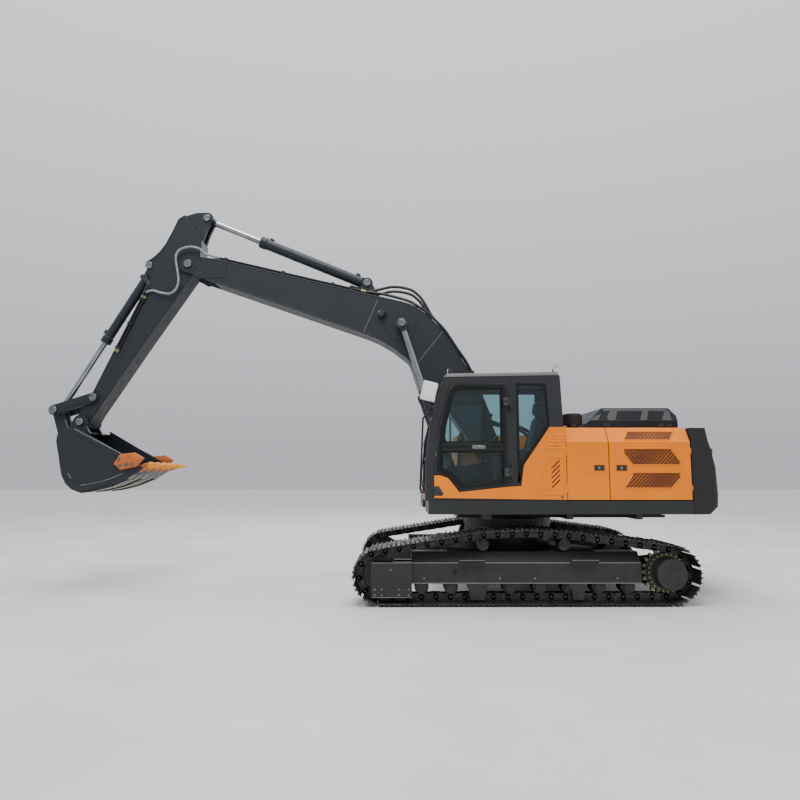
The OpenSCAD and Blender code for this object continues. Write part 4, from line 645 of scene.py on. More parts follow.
def add_undercarriage():
    for s, side in ((1, "left"), (-1, "right")):
        # A frame on the track's centre line, with Y outwards
        place = Matrix.Translation((0, s * TRACK_Y, 0)) @ Matrix.Scale(s, 4, OUT)

        def piece(name, look):
            return Piece(name + side, "undercarriage", look, place)

        def on_drive(n, r, y, start=0.0):
            return [(DRIVE[0] + x, y, DRIVE[1] + z) for x, z in circle(n, r, start)]
        trim = piece("frame_trim_", "frame")
        bolts = piece("frame_bolts_", "bolt")
        dark = piece("frame_holes_", "rubber")
        # Steps with ribs; rounded edges of the beam and the steps, with painted highlight along them in a light grey
        edges = piece("frame_edges_", "edge")
        for x0, x1 in STEPS:
            for k in range(5):
                trim.box((x0 + 6, BEAM_Y + 58, 494 + k * 15), (x1 - 6, BEAM_Y + 66, 501 + k * 15), 1.5)
            edges.box((x0, BEAM_Y + 58, 560), (x1, BEAM_Y + 67, 569), 3.0, 2)
        for z in (270, 524):
            edges.seam([(-1486, z), (1455, z)], BEAM_Y - 3, 7, 10)
        for z in (106, 534):
            edges.seam([(1462, z), (1974, z)], COVER_Y - 2, 5, 8)
        # Weld seams where the idler cover and the drive plate meet the beam
        for x in (1457, -1490):
            trim.seam([(x, 275), (x, 512)], BEAM_Y - 2, 7, 8)
        # Idler cover: edge band, plug and lower guard
        trim.box((1470, COVER_Y, 232), (1962, COVER_Y + 6, 246), 1.5)
        dark.lathe((1730, COVER_Y - 1, 450), OUT, [(0, 22), (3, 22)], 20)
        bolts.lathe((1730, COVER_Y + 1, 450), OUT, [(0, 12), (4, 12), (5, 9)], 16)
        for x in (1500, 1620, 1840, 1930):
            for z in (135, 205):
                bolts.hexagon((x, COVER_Y, z), OUT, 26, 14)
        # Diamond hole in the beam, with a dark sheet inside as painted shade and a dark band round it; four lashing
        # points
        dark.prism([(908, 370), (944, 419), (908, 468), (872, 419)], BEAM_Y - 20, BEAM_Y - 18)
        band(dark, [(908, 372), (942, 419), (908, 466), (874, 419)], 12, BEAM_Y - 1, BEAM_Y + 1.2)
        for x in (-1180, -120, 330, 1300):
            bolts.lathe((x, BEAM_Y, 330), OUT, [(0, 14), (5, 14), (7, 10)], 16)
        # Final drive
        ring, studs = piece("drive_ring_", "frame"), piece("drive_studs_", "zinc")
        x, z = DRIVE
        ring.lathe((x, 76, z), OUT, [(0, 248), (4, 253), (12, 253), (14, 250), (14, 205)], 64)
        for at in on_drive(24, 236, 90):
            studs.hexagon(at, OUT, 24, 14)
        studs.lathe((x, 89, z), OUT, [(0, 226), (3, 226), (3, 218), (0, 218)], 64)
        cap = piece("drive_cap_", "frame")
        cap.lathe((x, 121, z), OUT, [(0, 193.5), (110, 194), (118, 190), (122, 183), (122, 158), (127, 154), (141, 150),
                                     (143, 146), (143, 0)], 64)
        for at in on_drive(3, 100, 261, 0.75):
            cap.hexagon(at, OUT, 34, 14)
        screws = piece("drive_screws_", "bolt")
        for at in on_drive(20, 171, 242, 0.5):
            screws.lathe(at, OUT, [(0, 9), (9, 9), (10, 7)], 10)
        # Sprocket teeth between the links
        outline = []
        for k in range(21):
            for turn, r in ((-6.5, 252), (-3.4, 296), (-1.5, 304), (1.5, 304), (3.4, 296), (6.5, 252)):
                a = radians(360.0 * k / 21 + turn)
                outline.append((x + r * cos(a), z + r * sin(a)))
        piece("sprocket_teeth_", "wear").prism(outline, -28, 28, 2.0)
        # Idler with its centre flange, and rollers with flanges and caps
        wheels = piece("wheel_rims_", "track")
        wheels.lathe((1863, -36, 372), OUT, [(0, 240), (6, 252), (66, 252), (72, 240)], 48)
        for k in range(8):
            for t in BOTH:
                wheels.lathe((-1330 + 380 * k, t * 87, 217), (0, t, 0), [(0, 40), (0, 86), (10, 92), (16, 88), (16, 46),
                                                                         (22, 42), (22, 0)], 28)
        for x in (-530, 530):
            wheels.lathe((x, s * 86, 745), (0, s, 0), [(0, 40), (0, 76), (6, 76), (9, 70), (9, 0)], 28)
    # Hoses to the travel motors
    lines = Piece("travel_hoses", "undercarriage", "rubber", sides=BOTH)
    for k in BOTH:
        lines.sweep([(-330, 300 + 30 * k, 700), (-560, 480, 560 + 22 * k), (-900, 760, 470 + 26 * k),
                     (-1300, 900, 420 + 26 * k), (-1700, 860, 400 + 30 * k)], 17, 10)


# House
GRILLES = [
    [(-1318, 1982), (-1921, 1981), (-2042, 1806), (-2030, 1783), (-1427, 1783), (-1318, 1925)],
    [(-1422, 1670), (-2035, 1670), (-2030, 1610), (-1915, 1483), (-1317, 1483), (-1422, 1640)],
]
LEAN_GRILLE = [(-1400, 160), (-1998, 160), (-1920, 38), (-1337, 38)]


def add_grilles():
    """Two grilles in the rear side door's flat face, and one made flat and then tilted onto its chamfer."""
    rims = Piece("grille_rims", "rear_side_door", "orange")
    mesh = Piece("grille_mesh", "rear_side_door", "orange_dark")
    back = Piece("grille_backs", "rear_side_door", "plastic")
    flat = Matrix.Identity(4)
    lean = (Matrix.Translation((0, SIDE, 2075)) @ Matrix.Rotation(atan2(125.0, 195.0), 4, "X")
            @ Matrix.Translation((0, -SIDE, 0)))
    for outline, place in ((GRILLES[0], flat), (GRILLES[1], flat), (LEAN_GRILLE, lean)):
        rims.place = mesh.place = back.place = place
        band(rims, outline, 15, SIDE - 3, SIDE + 7, 5.0)
        lattice(mesh, outline, SIDE - 4.2, SIDE - 1, 17.0, 6.0, 45)
        # A dark sheet behind each grille stands in for the shade inside: painted shade
        back.prism(outline, SIDE - 16, SIDE - 13.5)


LATCH_LOW, LATCH_TOP = 1700.0, 1774.0


def add_latches():
    for body, side, x0, x1 in (("front_side_door", 1, -1052, -918), ("rear_side_door", 1, -1345, -1208),
                               ("pump_door", -1, -1200, -1066)):
        rim, cup, lock = (Piece("latch_" + name + body, body, look, Matrix.Scale(side, 4, OUT))
                          for name, look in (("rim_", "orange"), ("cup_", "plastic"), ("lock_", "silver")))
        band(rim, [(x0, LATCH_LOW), (x1, LATCH_LOW), (x1, LATCH_TOP), (x0, LATCH_TOP)], 12, SIDE - 2, SIDE + 5, 2.0)
        cup.box((x0, SIDE - 12, LATCH_LOW), (x1, SIDE - 9, LATCH_TOP), 1.0)
        for a, b in ((x0 + 5, x0 + 42), (x1 - 40, x1 - 5)):
            cup.box((a, SIDE - 10, LATCH_LOW + 6), (b, SIDE - 1, LATCH_TOP - 6), 4.0, 2)
        lock.lathe(((x0 + x1) / 2, SIDE - 2.5, (LATCH_LOW + LATCH_TOP) / 2), OUT,
                   [(0, 18.5), (4, 18.5), (6, 15), (6, 6), (3, 5), (3, 0)], 24)


def add_side_panel():
    bits = Piece("side_panel_forms", "house", "orange")
    dark = Piece("side_panel_slots", "house", "plastic")
    # Round-cornered cover with slanted slots
    band(bits, [(-262, 1402), (-520, 1402), (-520, 1868), (-345, 1868), (-250, 1640)], 14, SIDE - 3, SIDE + 6, 4.0)
    for z in range(1468, 1778, 62):
        # Each slot is a dark strip sunk in the panel as painted shade, under an orange lip
        dark.prism([(-360, z), (-470, z + 108), (-470, z + 131), (-360, z + 23)], SIDE - 13, SIDE - 10.5)
        bits.prism([(-362, z + 23.5), (-470, z + 131.5), (-470, z + 142), (-362, z + 34)], SIDE - 3, SIDE + 7, 2.5)
    dark.box((-442, SIDE - 3, 2020), (-398, SIDE + 1.2, 2034))
    dark.lathe((-490, SIDE - 1, 1360), OUT, [(0, 14), (3, 14), (3, 0)], 20)
    # Raised crease from the band's foot up to the chamfer
    bits.seam([(-86, 1512), (-111, 1760), (-261, 1985), (-421, 2200)], SIDE - 5, 9, 10)
    # Black insert in the front corner of the orange band
    dark.prism([(1175, 1500), (1105, 1506), (1042, 1400), (1070, 1378), (1168, 1378)], SIDE - 3, SIDE + 3, 4.0, 2)


# Cab
CAB_IN, CAB_OUT = 445.0, 1370.0
DOOR_GLASS = [(265, 1560), (815, 1500), (900, 1600), (955, 1665), (1085, 1710), (1080, 1850), (1030, 2290), (925, 2700),
              (860, 2785), (265, 2785)]
DOOR_EDGE = [(200, 1503), (832, 1433), (942, 1570), (979, 1616), (1089, 1650), (1163, 1650), (1150, 1840), (1100, 2300),
             (965, 2800), (925, 2840), (860, 2850), (200, 2850)]
QUARTER = [(78, 2850), (-300, 2850), (-322, 2820), (-358, 2290), (-190, 2050), (-10, 1790), (40, 1520), (78, 1505)]
RIGHT_WINDOW = [(-400, 1900), (980, 1700), (1130, 1900), (1090, 2300), (930, 2850), (-400, 2850)]
CAB_FRONT = [(1284, 1315), (1270, 1830), (1213, 2307), (1052, 2883)]
IN_CAB = Matrix.Translation((0, (CAB_IN + CAB_OUT) / 2, 1375.0))
NEAR_MIRROR = Matrix.Translation((1235, SIDE + 165, 2720)) @ Matrix.Rotation(radians(-14), 4, "Y")


def split_at(points, z0, keep_above):
    """The part of a convex-enough outline above or below a height."""
    out = []
    for a, b in closed(points):
        kept = (a[1] >= z0) == keep_above
        if kept:
            out.append(a)
        if kept != ((b[1] >= z0) == keep_above):
            out.append((a[0] + (b[0] - a[0]) * (z0 - a[1]) / (b[1] - a[1]), z0))
    return out


def add_cab_outside():
    trim = Piece("cab_glazing_border", "house", "frit")
    door = Piece("door_glazing_border", "cab_door", "frit")
    lining = Piece("door_lining", "cab_door", "frit")
    # Black borders printed round the panes, on both faces of the glass
    for pane in (split_at(DOOR_GLASS, 2054, True), split_at(DOOR_GLASS, 1963, False)):
        band(door, grown(pane, -30), 29, SIDE - 32, SIDE - 21.5)
        band(lining, grown(pane, -9), 8, SIDE - 21.5, SIDE - 6, 2.0)
    band(trim, grown(QUARTER, -38), 37, CAB_OUT - 28, CAB_OUT - 16)
    band(trim, grown(RIGHT_WINDOW, -38), 37, CAB_IN + 17, CAB_IN + 28)
    for y0, y1, z0, z1 in ((521, 560, 1951, 2849), (1255, 1294, 1951, 2849), (560, 1255, 1951, 1990),
                           (560, 1255, 2810, 2849)):
        trim.box((-519, y0, z0), (-508, y1, z1), 1.0)
    # Black border on the frame outside the glass, broad in the lower front corner
    band(door, DOOR_GLASS, 46, SIDE - 3, SIDE + 1.2)
    # Black middle bar of the door with its lever in a cup
    door.prism([(262, 1966), (1068, 1966), (1058, 2051), (262, 2051)], SIDE - 4, SIDE + 3, 3.0, 2)
    handle = Piece("door_handle", "cab_door", "silver")
    handle.prism([(505, 1985), (655, 1985), (668, 1998), (668, 2020), (655, 2033), (505, 2033), (492, 2020),
                  (492, 1998)], SIDE + 2, SIDE + 9, 3.0, 2)
    handle.box((520, SIDE + 8, 1996), (600, SIDE + 22, 2022), 5.0, 3)
    handle.lathe((632, SIDE + 8, 2009), OUT, [(0, 12), (4, 12), (6, 9), (6, 0)], 20)
    # Rubber seal round the door, in its gap
    band(Piece("door_seal", "cab_door", "rubber"), grown(DOOR_EDGE, -9), 4, SIDE - 38, SIDE - 2, 1.0)
    # Hinge covers and their screws
    hinges = Piece("door_hinge_covers", "cab_door", "cab")
    screws = Piece("door_hinge_screws", "cab_door", "bolt")
    for z in (1680, 2600):
        hinges.prism([(160, z - 55), (262, z - 50), (262, z + 50), (160, z + 55)], SIDE + 30, SIDE + 50, 5.0, 2)
        for dz in (-28, 28):
            screws.hexagon((226, SIDE + 49, z + dz), OUT, 22, 11)
    # Roof: a light grey band of painted highlight along its edges, hatch and antenna
    roof = Piece("cab_roof_band", "house", "edge")
    for y0, y1 in ((CAB_OUT - 1, CAB_OUT + 7), (CAB_IN - 7, CAB_IN + 1)):
        roof.prism([(-492, 2961), (1000, 2934), (1010, 2947), (994, 2978), (-473, 3003), (-490, 2984)], y0, y1, 3.0, 2)
    roof.loft([[(990, y, 2952), (1012, y, 2944), (1014, y, 2956), (996, y, 2976)] for y in (CAB_IN + 4, CAB_OUT - 4)])
    hatch = Piece("roof_hatch", "house", "cab")
    hatch.prism([(60, 2990), (700, 2978), (700, 2994), (60, 3006)], 620, 1200, 8.0, 3)
    hatch.prism([(110, 3000), (650, 2990), (640, 3000), (120, 3009)], 670, 1150, 4.0, 2)
    antenna = Piece("antenna", "house", "plastic")
    antenna.lathe((-440, 1290, 2998), UP, [(0, 24), (8, 24), (20, 12), (34, 9), (60, 6), (60, 0)], 20)
    antenna.sweep([(x, 1290, z) for x, z in ((-440, 3052), (-446, 3080), (-470, 3112), (-500, 3120), (-512, 3098),
                                             (-494, 3076), (-468, 3088))], 3.5, 8)
    # Wiper and glazing bars of the front
    wiper = Piece("front_wiper", "house", "plastic")
    wiper.lathe((on_line(CAB_FRONT, 1500) - 12, 820, 1500), AHEAD, [(0, 30), (22, 30), (30, 22), (36, 12), (36, 0)], 24)
    for r, route in ((6, ((20, 820, 1500), (26, 800, 1700), (24, 770, 2150))),
                     (8, ((12, 760, 1800), (12, 768, 2100), (10, 772, 2500)))):
        wiper.sweep([(on_line(CAB_FRONT, z) + off, y, z) for off, y, z in route], r, 8, 4)
    for z in (1860, 2405):
        x = on_line(CAB_FRONT, z)
        wiper.box((x - 20, 520, z - 10), (x + 5, 1295, z + 10), 3.0)
    Piece("cab_sill", "house", "rubber").box((210, 1371, 1428), (820, 1389, 1436), 1.5)
    # Mirrors: the near one leans as in the photograph
    shells = Piece("mirror_shells", "house", "white", NEAR_MIRROR)
    shells.prism([(-96, -113), (-84, -126), (84, -126), (96, -113), (96, 113), (84, 126), (-84, 126), (-96, 113)],
                 2, 24, 9.0, 3)
    faces = Piece("mirror_faces", "house", "chrome", NEAR_MIRROR)
    faces.box((-84, -22, -112), (84, -19, 112), 1.0)
    shells.place = faces.place = Matrix.Identity(4)
    shells.box((1101, -1521, 2699), (1124, -1339, 2961), 9.0, 3)
    faces.box((1077, -1508, 2712), (1081, -1352, 2948), 1.0)
    lenses = Piece("lamp_lenses", "house", "lens")
    for at in ((961, 605, 3034), (961, 1210, 3034), (979, -840, 1855)):
        lenses.lathe(at, AHEAD, [(0, 36), (3, 36), (7, 28), (9, 14), (9, 0)], 28)


def add_cab_inside():
    """Everything here stands on the cab's floor, with Y from the cab's middle."""
    trim = Piece("cab_interior", "house", "plastic", IN_CAB)
    # Rear shelf and roof lining
    trim.box((-470, -400.5, 0), (-260, 400.5, 530), 14.0, 3)
    trim.box((-440, -400.5, 1517), (930, 400.5, 1528), 3.0)
    # Pedal plates, then on both sides the consoles
    for y in (-140, 50):
        trim.prism([(757, 0), (962, 0), (962, 132), (940, 144)], y - 2, y + 2, 1.0)
    trim.sides = BOTH
    trim.prism([(-182, 505), (330, 505), (384, 515), (372, 548), (240, 560), (-150, 560)], 254, 386, 12.0, 3)
    trim.prism([(-150, 555), (130, 555), (120, 610), (-120, 618)], 282, 358, 14.0, 3)
    # Joystick with its boot and grip
    trim.lathe((290, 320, 556), UP, [(0, 52), (10, 50), (18, 42), (26, 44), (34, 34), (42, 36), (52, 26), (66, 22)], 24)
    trim.lathe((303, 320, 640), (0.25, 0, 1), [(0, 24), (20, 29), (60, 32), (95, 31), (118, 38), (140, 36), (150, 24),
                                               (152, 0)], 20)
    # Travel lever grips and pedals
    trim.lathe((764, 95, 690), (-0.15, 0, 1), [(0, 18), (14, 24), (90, 26), (112, 22), (120, 10), (120, 0)], 18)
    for k in range(5):
        trim.box((785 + k * 34, 51, 20 + k * 20), (797 + k * 34, 139, 34 + k * 24), 2.0)
    knobs = Piece("lever_knobs", "house", "seat_base", IN_CAB, BOTH)
    knobs.lathe((760, 95, 812), UP, [(0, 12), (6, 22), (20, 26), (34, 20), (40, 0)], 18)
    Piece("monitor_screen", "house", "screen", IN_CAB).box((983, -378.5, 752), (986, -176.5, 908), 1.0)
    # Seat: base, slides and shell, then cushions
    base = Piece("seat_base", "house", "seat_base", IN_CAB, replaces="seat")
    for z in range(40, 256, 36):
        base.prism([(-150, z), (250, z), (258, z + 9), (258, z + 25), (250, z + 34), (-150, z + 34), (-158, z + 25),
                    (-158, z + 9)], -190, 190, 4.0, 2)
    base.box((-170, -200, 0), (270, 200, 42), 6.0, 2)
    base.box((-170, -200, 254), (270, 200, 292), 6.0, 2)
    shell = Piece("seat_shell", "house", "plastic", IN_CAB)
    shell.prism([(-252, 300), (-232, 300), (-362, 1050), (-380, 1046)], -205, 205, 6.0, 2)
    shell.box((-240, -225, 286), (300, 225, 318), 8.0, 2)
    for y in (-60, 60):
        shell.rod((-322, y, 1030), (-338, y, 1120), 8, 12)
    # Each cushion: its name, bevel, and its middle and side pads as outlines with their Y
    cushions = (
        ("seat_pan_cushion", 20.0,
         ([(-215, 318), (300, 318), (328, 344), (330, 392), (300, 424), (180, 428), (-20, 404), (-190, 408),
           (-222, 380)], -175, 175),
         ([(-205, 318), (290, 318), (322, 350), (318, 410), (280, 446), (-180, 446), (-212, 400)], 168, 222)),
        ("seat_back_cushion", 22.0,
         ([(-232, 420), (-150, 424), (-128, 470), (-150, 620), (-196, 800), (-246, 1020), (-278, 1060), (-330, 1056),
           (-352, 1030), (-250, 430)], -160, 160),
         ([(-238, 440), (-120, 452), (-104, 500), (-140, 640), (-206, 860), (-262, 990), (-330, 1010)], 152, 215)),
        ("headrest_cushion", 24.0,
         ([(-356, 1086), (-272, 1098), (-250, 1130), (-266, 1250), (-296, 1282), (-356, 1274), (-376, 1240),
           (-376, 1110)], -135, 135)),
    )
    for name, bevel, *pads in cushions:
        cushion = Piece(name, "house", "seat", IN_CAB, replaces="seat", angle=40.0)
        for outline, y0, y1 in pads:
            cushion.sides = (1,) if y0 < 0 else BOTH
            cushion.prism(outline, y0, y1, bevel, 4)
        cushion.done()
    belt_strap = Piece("seat_belt", "house", "strap", IN_CAB)
    belt_strap.sweep([(-236, 228, 330), (-180, 232, 470), (-150, 222, 560)], 9, 8)


# Hood, intake cap, exhaust, decks and rear
HOOD_Y = 900.0
HOOD_INSETS = [[(-1398, 11), (-1724, 11), (-1791, 158), (-1456, 158)],
               [(-1838, 11), (-2028, 11), (-2102, 158), (-1891, 158)]]
HOOD_TABS = [[(-1830, 12), (-1732, 12), (-1797, 164), (-1883, 164)],
             [(-1388, 12), (-1290, 12), (-1282, 60), (-1340, 164), (-1448, 164)],
             [(-2176, 12), (-2036, 12), (-2110, 164), (-2176, 164)],
             [(-1150, 12), (-1046, 12), (-1108, 76), (-1210, 120)]]
INTAKE, EXHAUST = (-825, 760, PANEL_TOP), (-1700, -980, PANEL_TOP)


def add_hood():
    skin = Piece("hood_top_skin", "hood", "hood_light")
    dark = Piece("hood_inset_backs", "hood", "plastic")
    mesh = Piece("hood_inset_mesh", "hood", "slate")
    for s in BOTH:
        # The plane of a leaning side of the hood: X along the machine, Z up the lean, Y out
        skin.place = dark.place = mesh.place = (Matrix.Scale(s, 4, OUT) @ Matrix.Translation((0, HOOD_Y, 2390))
                                                @ Matrix.Rotation(atan2(100, 190), 4, "X"))
        # A lighter skin over the leaning side round the insets: painted highlight
        skin.prism([(-2150, 163), (-1262, 163), (-1246, 180), (-1246, 205), (-2150, 205)], -0.5, 3.0, 1.0)
        for tab in HOOD_TABS:
            skin.prism(tab, -0.5, 3.0, 1.0)
        for inset in HOOD_INSETS:
            # A dark sheet under each inset's mesh: painted shade
            dark.prism(inset, -13.0, -10.5)
            lattice(mesh, inset, -5.0, -1.0, 15.0, 6.0, 52)
            band(mesh, grown(inset, -7), 6, -5.0, -1.0, 1.0)
    # Top plate with pressed ribs, in the lighter grey of painted highlight
    skin.place = Matrix.Identity(4)
    skin.prism([(-2166, 2579.5), (-1234, 2579.5), (-1238, 2583), (-2160, 2583)], -792, 792, 1.0)
    for x in range(-2050, -1210, 210):
        skin.prism([(x, 2582), (x + 110, 2582), (x + 96, 2592), (x + 14, 2592)], -560, 560, 3.0)
    # Lower side of the hood: seam bead, latches and a marker slot
    low = Piece("hood_low_trim", "hood", "plastic", sides=BOTH)
    low.box((-2200, HOOD_Y - 2, 2286), (-1000, HOOD_Y + 5, 2296), 2.0)
    for x in (-1260, -2020):
        low.box((x - 40, HOOD_Y - 2, 2310), (x + 40, HOOD_Y + 5, 2352), 4.0, 2)
    # The marker is in the same lighter highlight grey
    marker = Piece("hood_marker", "hood", "hood_light", sides=BOTH)
    marker.prism([(-2176, 2318), (-2096, 2318), (-2086, 2334), (-2166, 2334)], HOOD_Y - 2, HOOD_Y + 5, 2.0)


def add_stacks():
    at = Matrix.Translation(INTAKE)
    cap = Piece("intake_cap", "house", "plastic", at)
    cap.lathe((0, 0, 0), UP, [(219, 128), (224, 126), (232, 112), (238, 84), (240, 40), (240, 0)], 48)
    for x, y in circle(36, 134):
        cap.rod((x, y, 84), (x, y, 202), 4.0, 6)
    foot = Piece("intake_bolts", "house", "silver", at)
    foot.lathe((0, 0, 1), UP, [(0, 112), (7, 112), (9, 104), (9, 78)], 36)
    foot.lathe((0, 0, 58), UP, [(0, 80), (12, 80), (12, 74)], 36)
    for x, y in circle(8, 94, 0.5):
        foot.hexagon((x, y, 9), UP, 20, 12)
    pipe = Piece("exhaust_tail", "house", "cast", Matrix.Translation(EXHAUST))
    pipe.lathe((0, 0, 0), UP, [(0, 96), (6, 96), (8, 70), (14, 57), (250, 57), (252, 62), (264, 62), (266, 57),
                               (281, 57), (281, 50), (240, 50)], 36)
    pipe.sweep([(0, 0, 230), (0, 0, 290), (-14, 0, 330), (-62, 0, 370), (-96, 0, 382)], 50, 24)


def add_decks():
    """Tread studs on the decks, tool box and tank, their lids, and the right side's seams and louvres."""
    grip = Piece("deck_studs", "house", "black")
    for x0, x1, y0, y1, z in ((-2120, -1010, 935, 1180, PANEL_TOP), (-2120, -1000, -1180, -935, PANEL_TOP),
                              (-960, -640, -760, 560, PANEL_TOP), (1020, 1230, -1330, -480, 1560),
                              (715, 995, -1330, -480, 1800)):
        n, m = max(2, int((x1 - x0) / 62)), max(2, int((y1 - y0) / 62))
        for i in range(n):
            for j in range(m):
                x, y = x0 + (x1 - x0) * (i + 0.5) / n, y0 + (y1 - y0) * (j + 0.5) / m
                if length_of((x, y), INTAKE) >= 190 and length_of((x, y), EXHAUST) >= 130:
                    grip.lathe((x, y, z - 0.5), UP, [(0, 13), (4.5, 9), (4.5, 0)], 8)
    lids = Piece("tank_caps", "house", "black")
    lids.lathe((420, -900, PANEL_TOP), UP, [(0, 84), (10, 84), (12, 66), (46, 64), (54, 56), (54, 0)], 32)
    lids.lathe((-260, -880, PANEL_TOP), UP, [(0, 110), (8, 110), (10, 90), (26, 88), (32, 78), (32, 0)], 32)
    for x, y in circle(6, 99):
        lids.hexagon((-260 + x, -880 + y, PANEL_TOP + 8), UP, 18, 10)
    lids.box((706, -1372, 1796), (1004, -1362, 1806), 2.0)
    # Lid lines and pulls of the tool box, and the sight glass of the tank
    seams = Piece("right_side_trim", "house", "plastic")
    for x1, z in ((1210, 1440), (985, 1690)):
        seams.box((735, -1392, z - 3), (x1, -1384, z + 3), 1.0)
    seams.box((820, -1396, 1590), (920, -1384, 1630), 5.0, 2)
    seams.box((-120, -1396, 1640), (-90, -1384, 1800), 6.0, 3)
    for x in (42, 690):
        seams.box((x - 4, -1386, 1330), (x + 4, -1380, 2060), 1.0)
    slots = Piece("right_rear_louvres", "house", "plastic")
    lips = Piece("right_rear_lips", "house", "orange")
    # Dark strips in the louvre gaps are painted shade, under orange lips
    for z in range(1500, 2058, 62):
        slots.box((-2050, -1391.5, z), (-1420, -1386, z + 20))
        lips.loft([[(x, -1389, z + 20), (x, -1402, z + 10), (x, -1404, z + 16), (x, -1389, z + 34)]
                   for x in (-2056, -1414)])


TAIL = [(r, z + SKIRT_Z) for r, z in ((2135, -8), (2773, 2), (2860, 97), (2870, 246), (2856, 605), (2814, 846),
                                      (2784, 953), (2758, 1119))]


def tail_frame(y, z):
    """A frame on the tail's round face: X out, at that distance across and height."""
    r = on_line(TAIL, z)
    a = pi - asin(y / r)
    return Matrix.Translation((r * cos(a), y, z)) @ Matrix.Rotation(a, 4, "Z")


def add_rear():
    lamp = Piece("tail_lamps", "house", "red_lens")
    clear = Piece("tail_lamp_clear", "house", "lens")
    shell = Piece("tail_shells", "house", "plastic")
    for s in BOTH:
        lamp.place = clear.place = shell.place = tail_frame(s * 1050, 1960)
        shell.box((-14, -92, -42), (12, 92, 42), 9.0, 3)
        lamp.box((10, -82, -32), (17, 4, 32), 5.0, 2)
        clear.box((10, 12, -32), (17, 82, 32), 5.0, 2)
        lamp.place = shell.place = tail_frame(s * 700, 1330)
        shell.box((-10, -60, -24), (10, 60, 24), 6.0, 2)
        lamp.box((8, -50, -16), (14, 50, 16), 3.0, 2)
    # Camera on the tail's top edge
    shell.place = tail_frame(0, 2160)
    shell.box((-18, -52, -30), (26, 52, 34), 12.0, 3)
    shell.lathe((24, 0, 0), AHEAD, [(0, 26), (10, 24), (14, 16), (14, 0)], 24)
    seam = Piece("tail_seams", "house", "black")
    for z in (SKIRT_Z + 300, SKIRT_Z + 800):
        for k in range(-12, 12):
            seam.rod(tail_frame(k * 95.0, z).translation, tail_frame((k + 1) * 95.0, z).translation, 3.2, 6)
    plugs = Piece("lifting_plugs", "house", "bolt", sides=BOTH)
    plugs.lathe((-2560, 700, PANEL_TOP - 3), UP, [(0, 34), (4, 34), (6, 24), (6, 16.5)], 28)


# Boom, arm, their cylinders and the bucket
BOOM_HALF, ARM_HALF, BUCKET_HALF, EYE_HALF = 205.0, 170.0, 578.0, 50.0
BOOM_CYL_Y, ARM_PIPE_Y = 345.0, 188.0
# The hoses on the boom lie in pairs, with the bolts of their clamps between them
INNER_HOSE_Y, OUTER_HOSE_Y, CLAMP_BOLT_Y = 125.0, 170.0, 147.5
BOOM_CYL_BASE, BOOM_CYL_TOP = (720.0, 1300.0), boom_point(2410, 995)
ARM_CYL_FOOT, ARM_CYL_TOP = boom_point(3245, 1290), arm_point(-785, 200)
BUCKET_CYL_FOOT = arm_point(330, 515)
ROCKER_PIVOT = arm_point(ARM_LEN - 401, 55)
ROCKER_END = (BUCKET_PIN[0] + 421, BUCKET_PIN[1] + 180)
LINK_PIN = (BUCKET_PIN[0] + 230, BUCKET_PIN[1] - 386)
BOOM_SIDE = [*arc(0, 0, 150, 150, 285, 8), (1600, 488), (1860, 552), (2035, 612), (2330, 640), (2600, 625),
             (2845, 575), *arc(BOOM_LEN, 0, 135, -107, 60, 8), (BOOM_LEN - 170, 230), (BOOM_LEN - 306, 310),
             (2610, 1320), (2500, 1352), (2390, 1368), (2200, 1362), (2025, 1325), (1830, 1280), (1500, 1135),
             (1170, 975)]
ARM_SIDE = [(-640, 500), (-430, 45), (-310, -20), (-190, -80), (-110, -125), (0, -160), (130, -145), (1455, -112),
            (ARM_LEN - 200, -100), *arc(ARM_LEN, 0, 115, -80, 80, 8), (2500, 112), (2450, 120), (880, 330),
            (470, 415), (405, 500), (345, 575), (300, 585), (190, 535), (50, 502), (-95, 495), (-340, 520),
            (-525, 550)]
# The boom's steel pipes slope down to its tip; the hoses behind them lie in clamps on its back
PIPE_SLOPE = atan2(1320 - 310, BOOM_LEN - 306 - 2610)
HOSE_CLAMPS, CLAMP_TURN = ((1140, 955.3), (560, 553.7)), 34.6
HOSE_END = Vector((520, 552))
ARM_PIPE_TURN = degrees(atan2(120 - 330, 2450 - 880))


def on_pipe(t):
    """A point in the boom's frame, that far ahead of the rear end of its pipes."""
    return (3215 + 28 * sin(PIPE_SLOPE) + t * cos(PIPE_SLOPE),
            1320 - 605 * tan(PIPE_SLOPE) + 28 * cos(PIPE_SLOPE) - t * sin(PIPE_SLOPE))


def on_arm_pipe(u, drop):
    """A point in the arm's frame, along its pipes and under its top edge."""
    return point_in((880, 330), ARM_PIPE_TURN, u, -drop)


def bead(piece, outline, inset, y, r):
    """A weld bead that follows an outline, a little inside its edge."""
    for a, b in closed(grown(outline, -inset)):
        if length_of(a, b) > 4:
            piece.seam([a, b], y, r, 6)


def pin_cap(piece, at, y, r, bolts=0, thick=16.0):
    """A collar over a pin's end, with its keeper plate and bolts."""
    x, z = at
    piece.lathe((x, y, z), OUT, [(-2, r), (thick * 0.7, r), (thick, r - 5), (thick, r * 0.45), (thick - 5, r * 0.4),
                                 (thick - 5, 0)], 32)
    for u, v in circle(bolts, r - 14, 0.25):
        piece.hexagon((x + u, y + thick - 2, z + v), OUT, 22, 11)


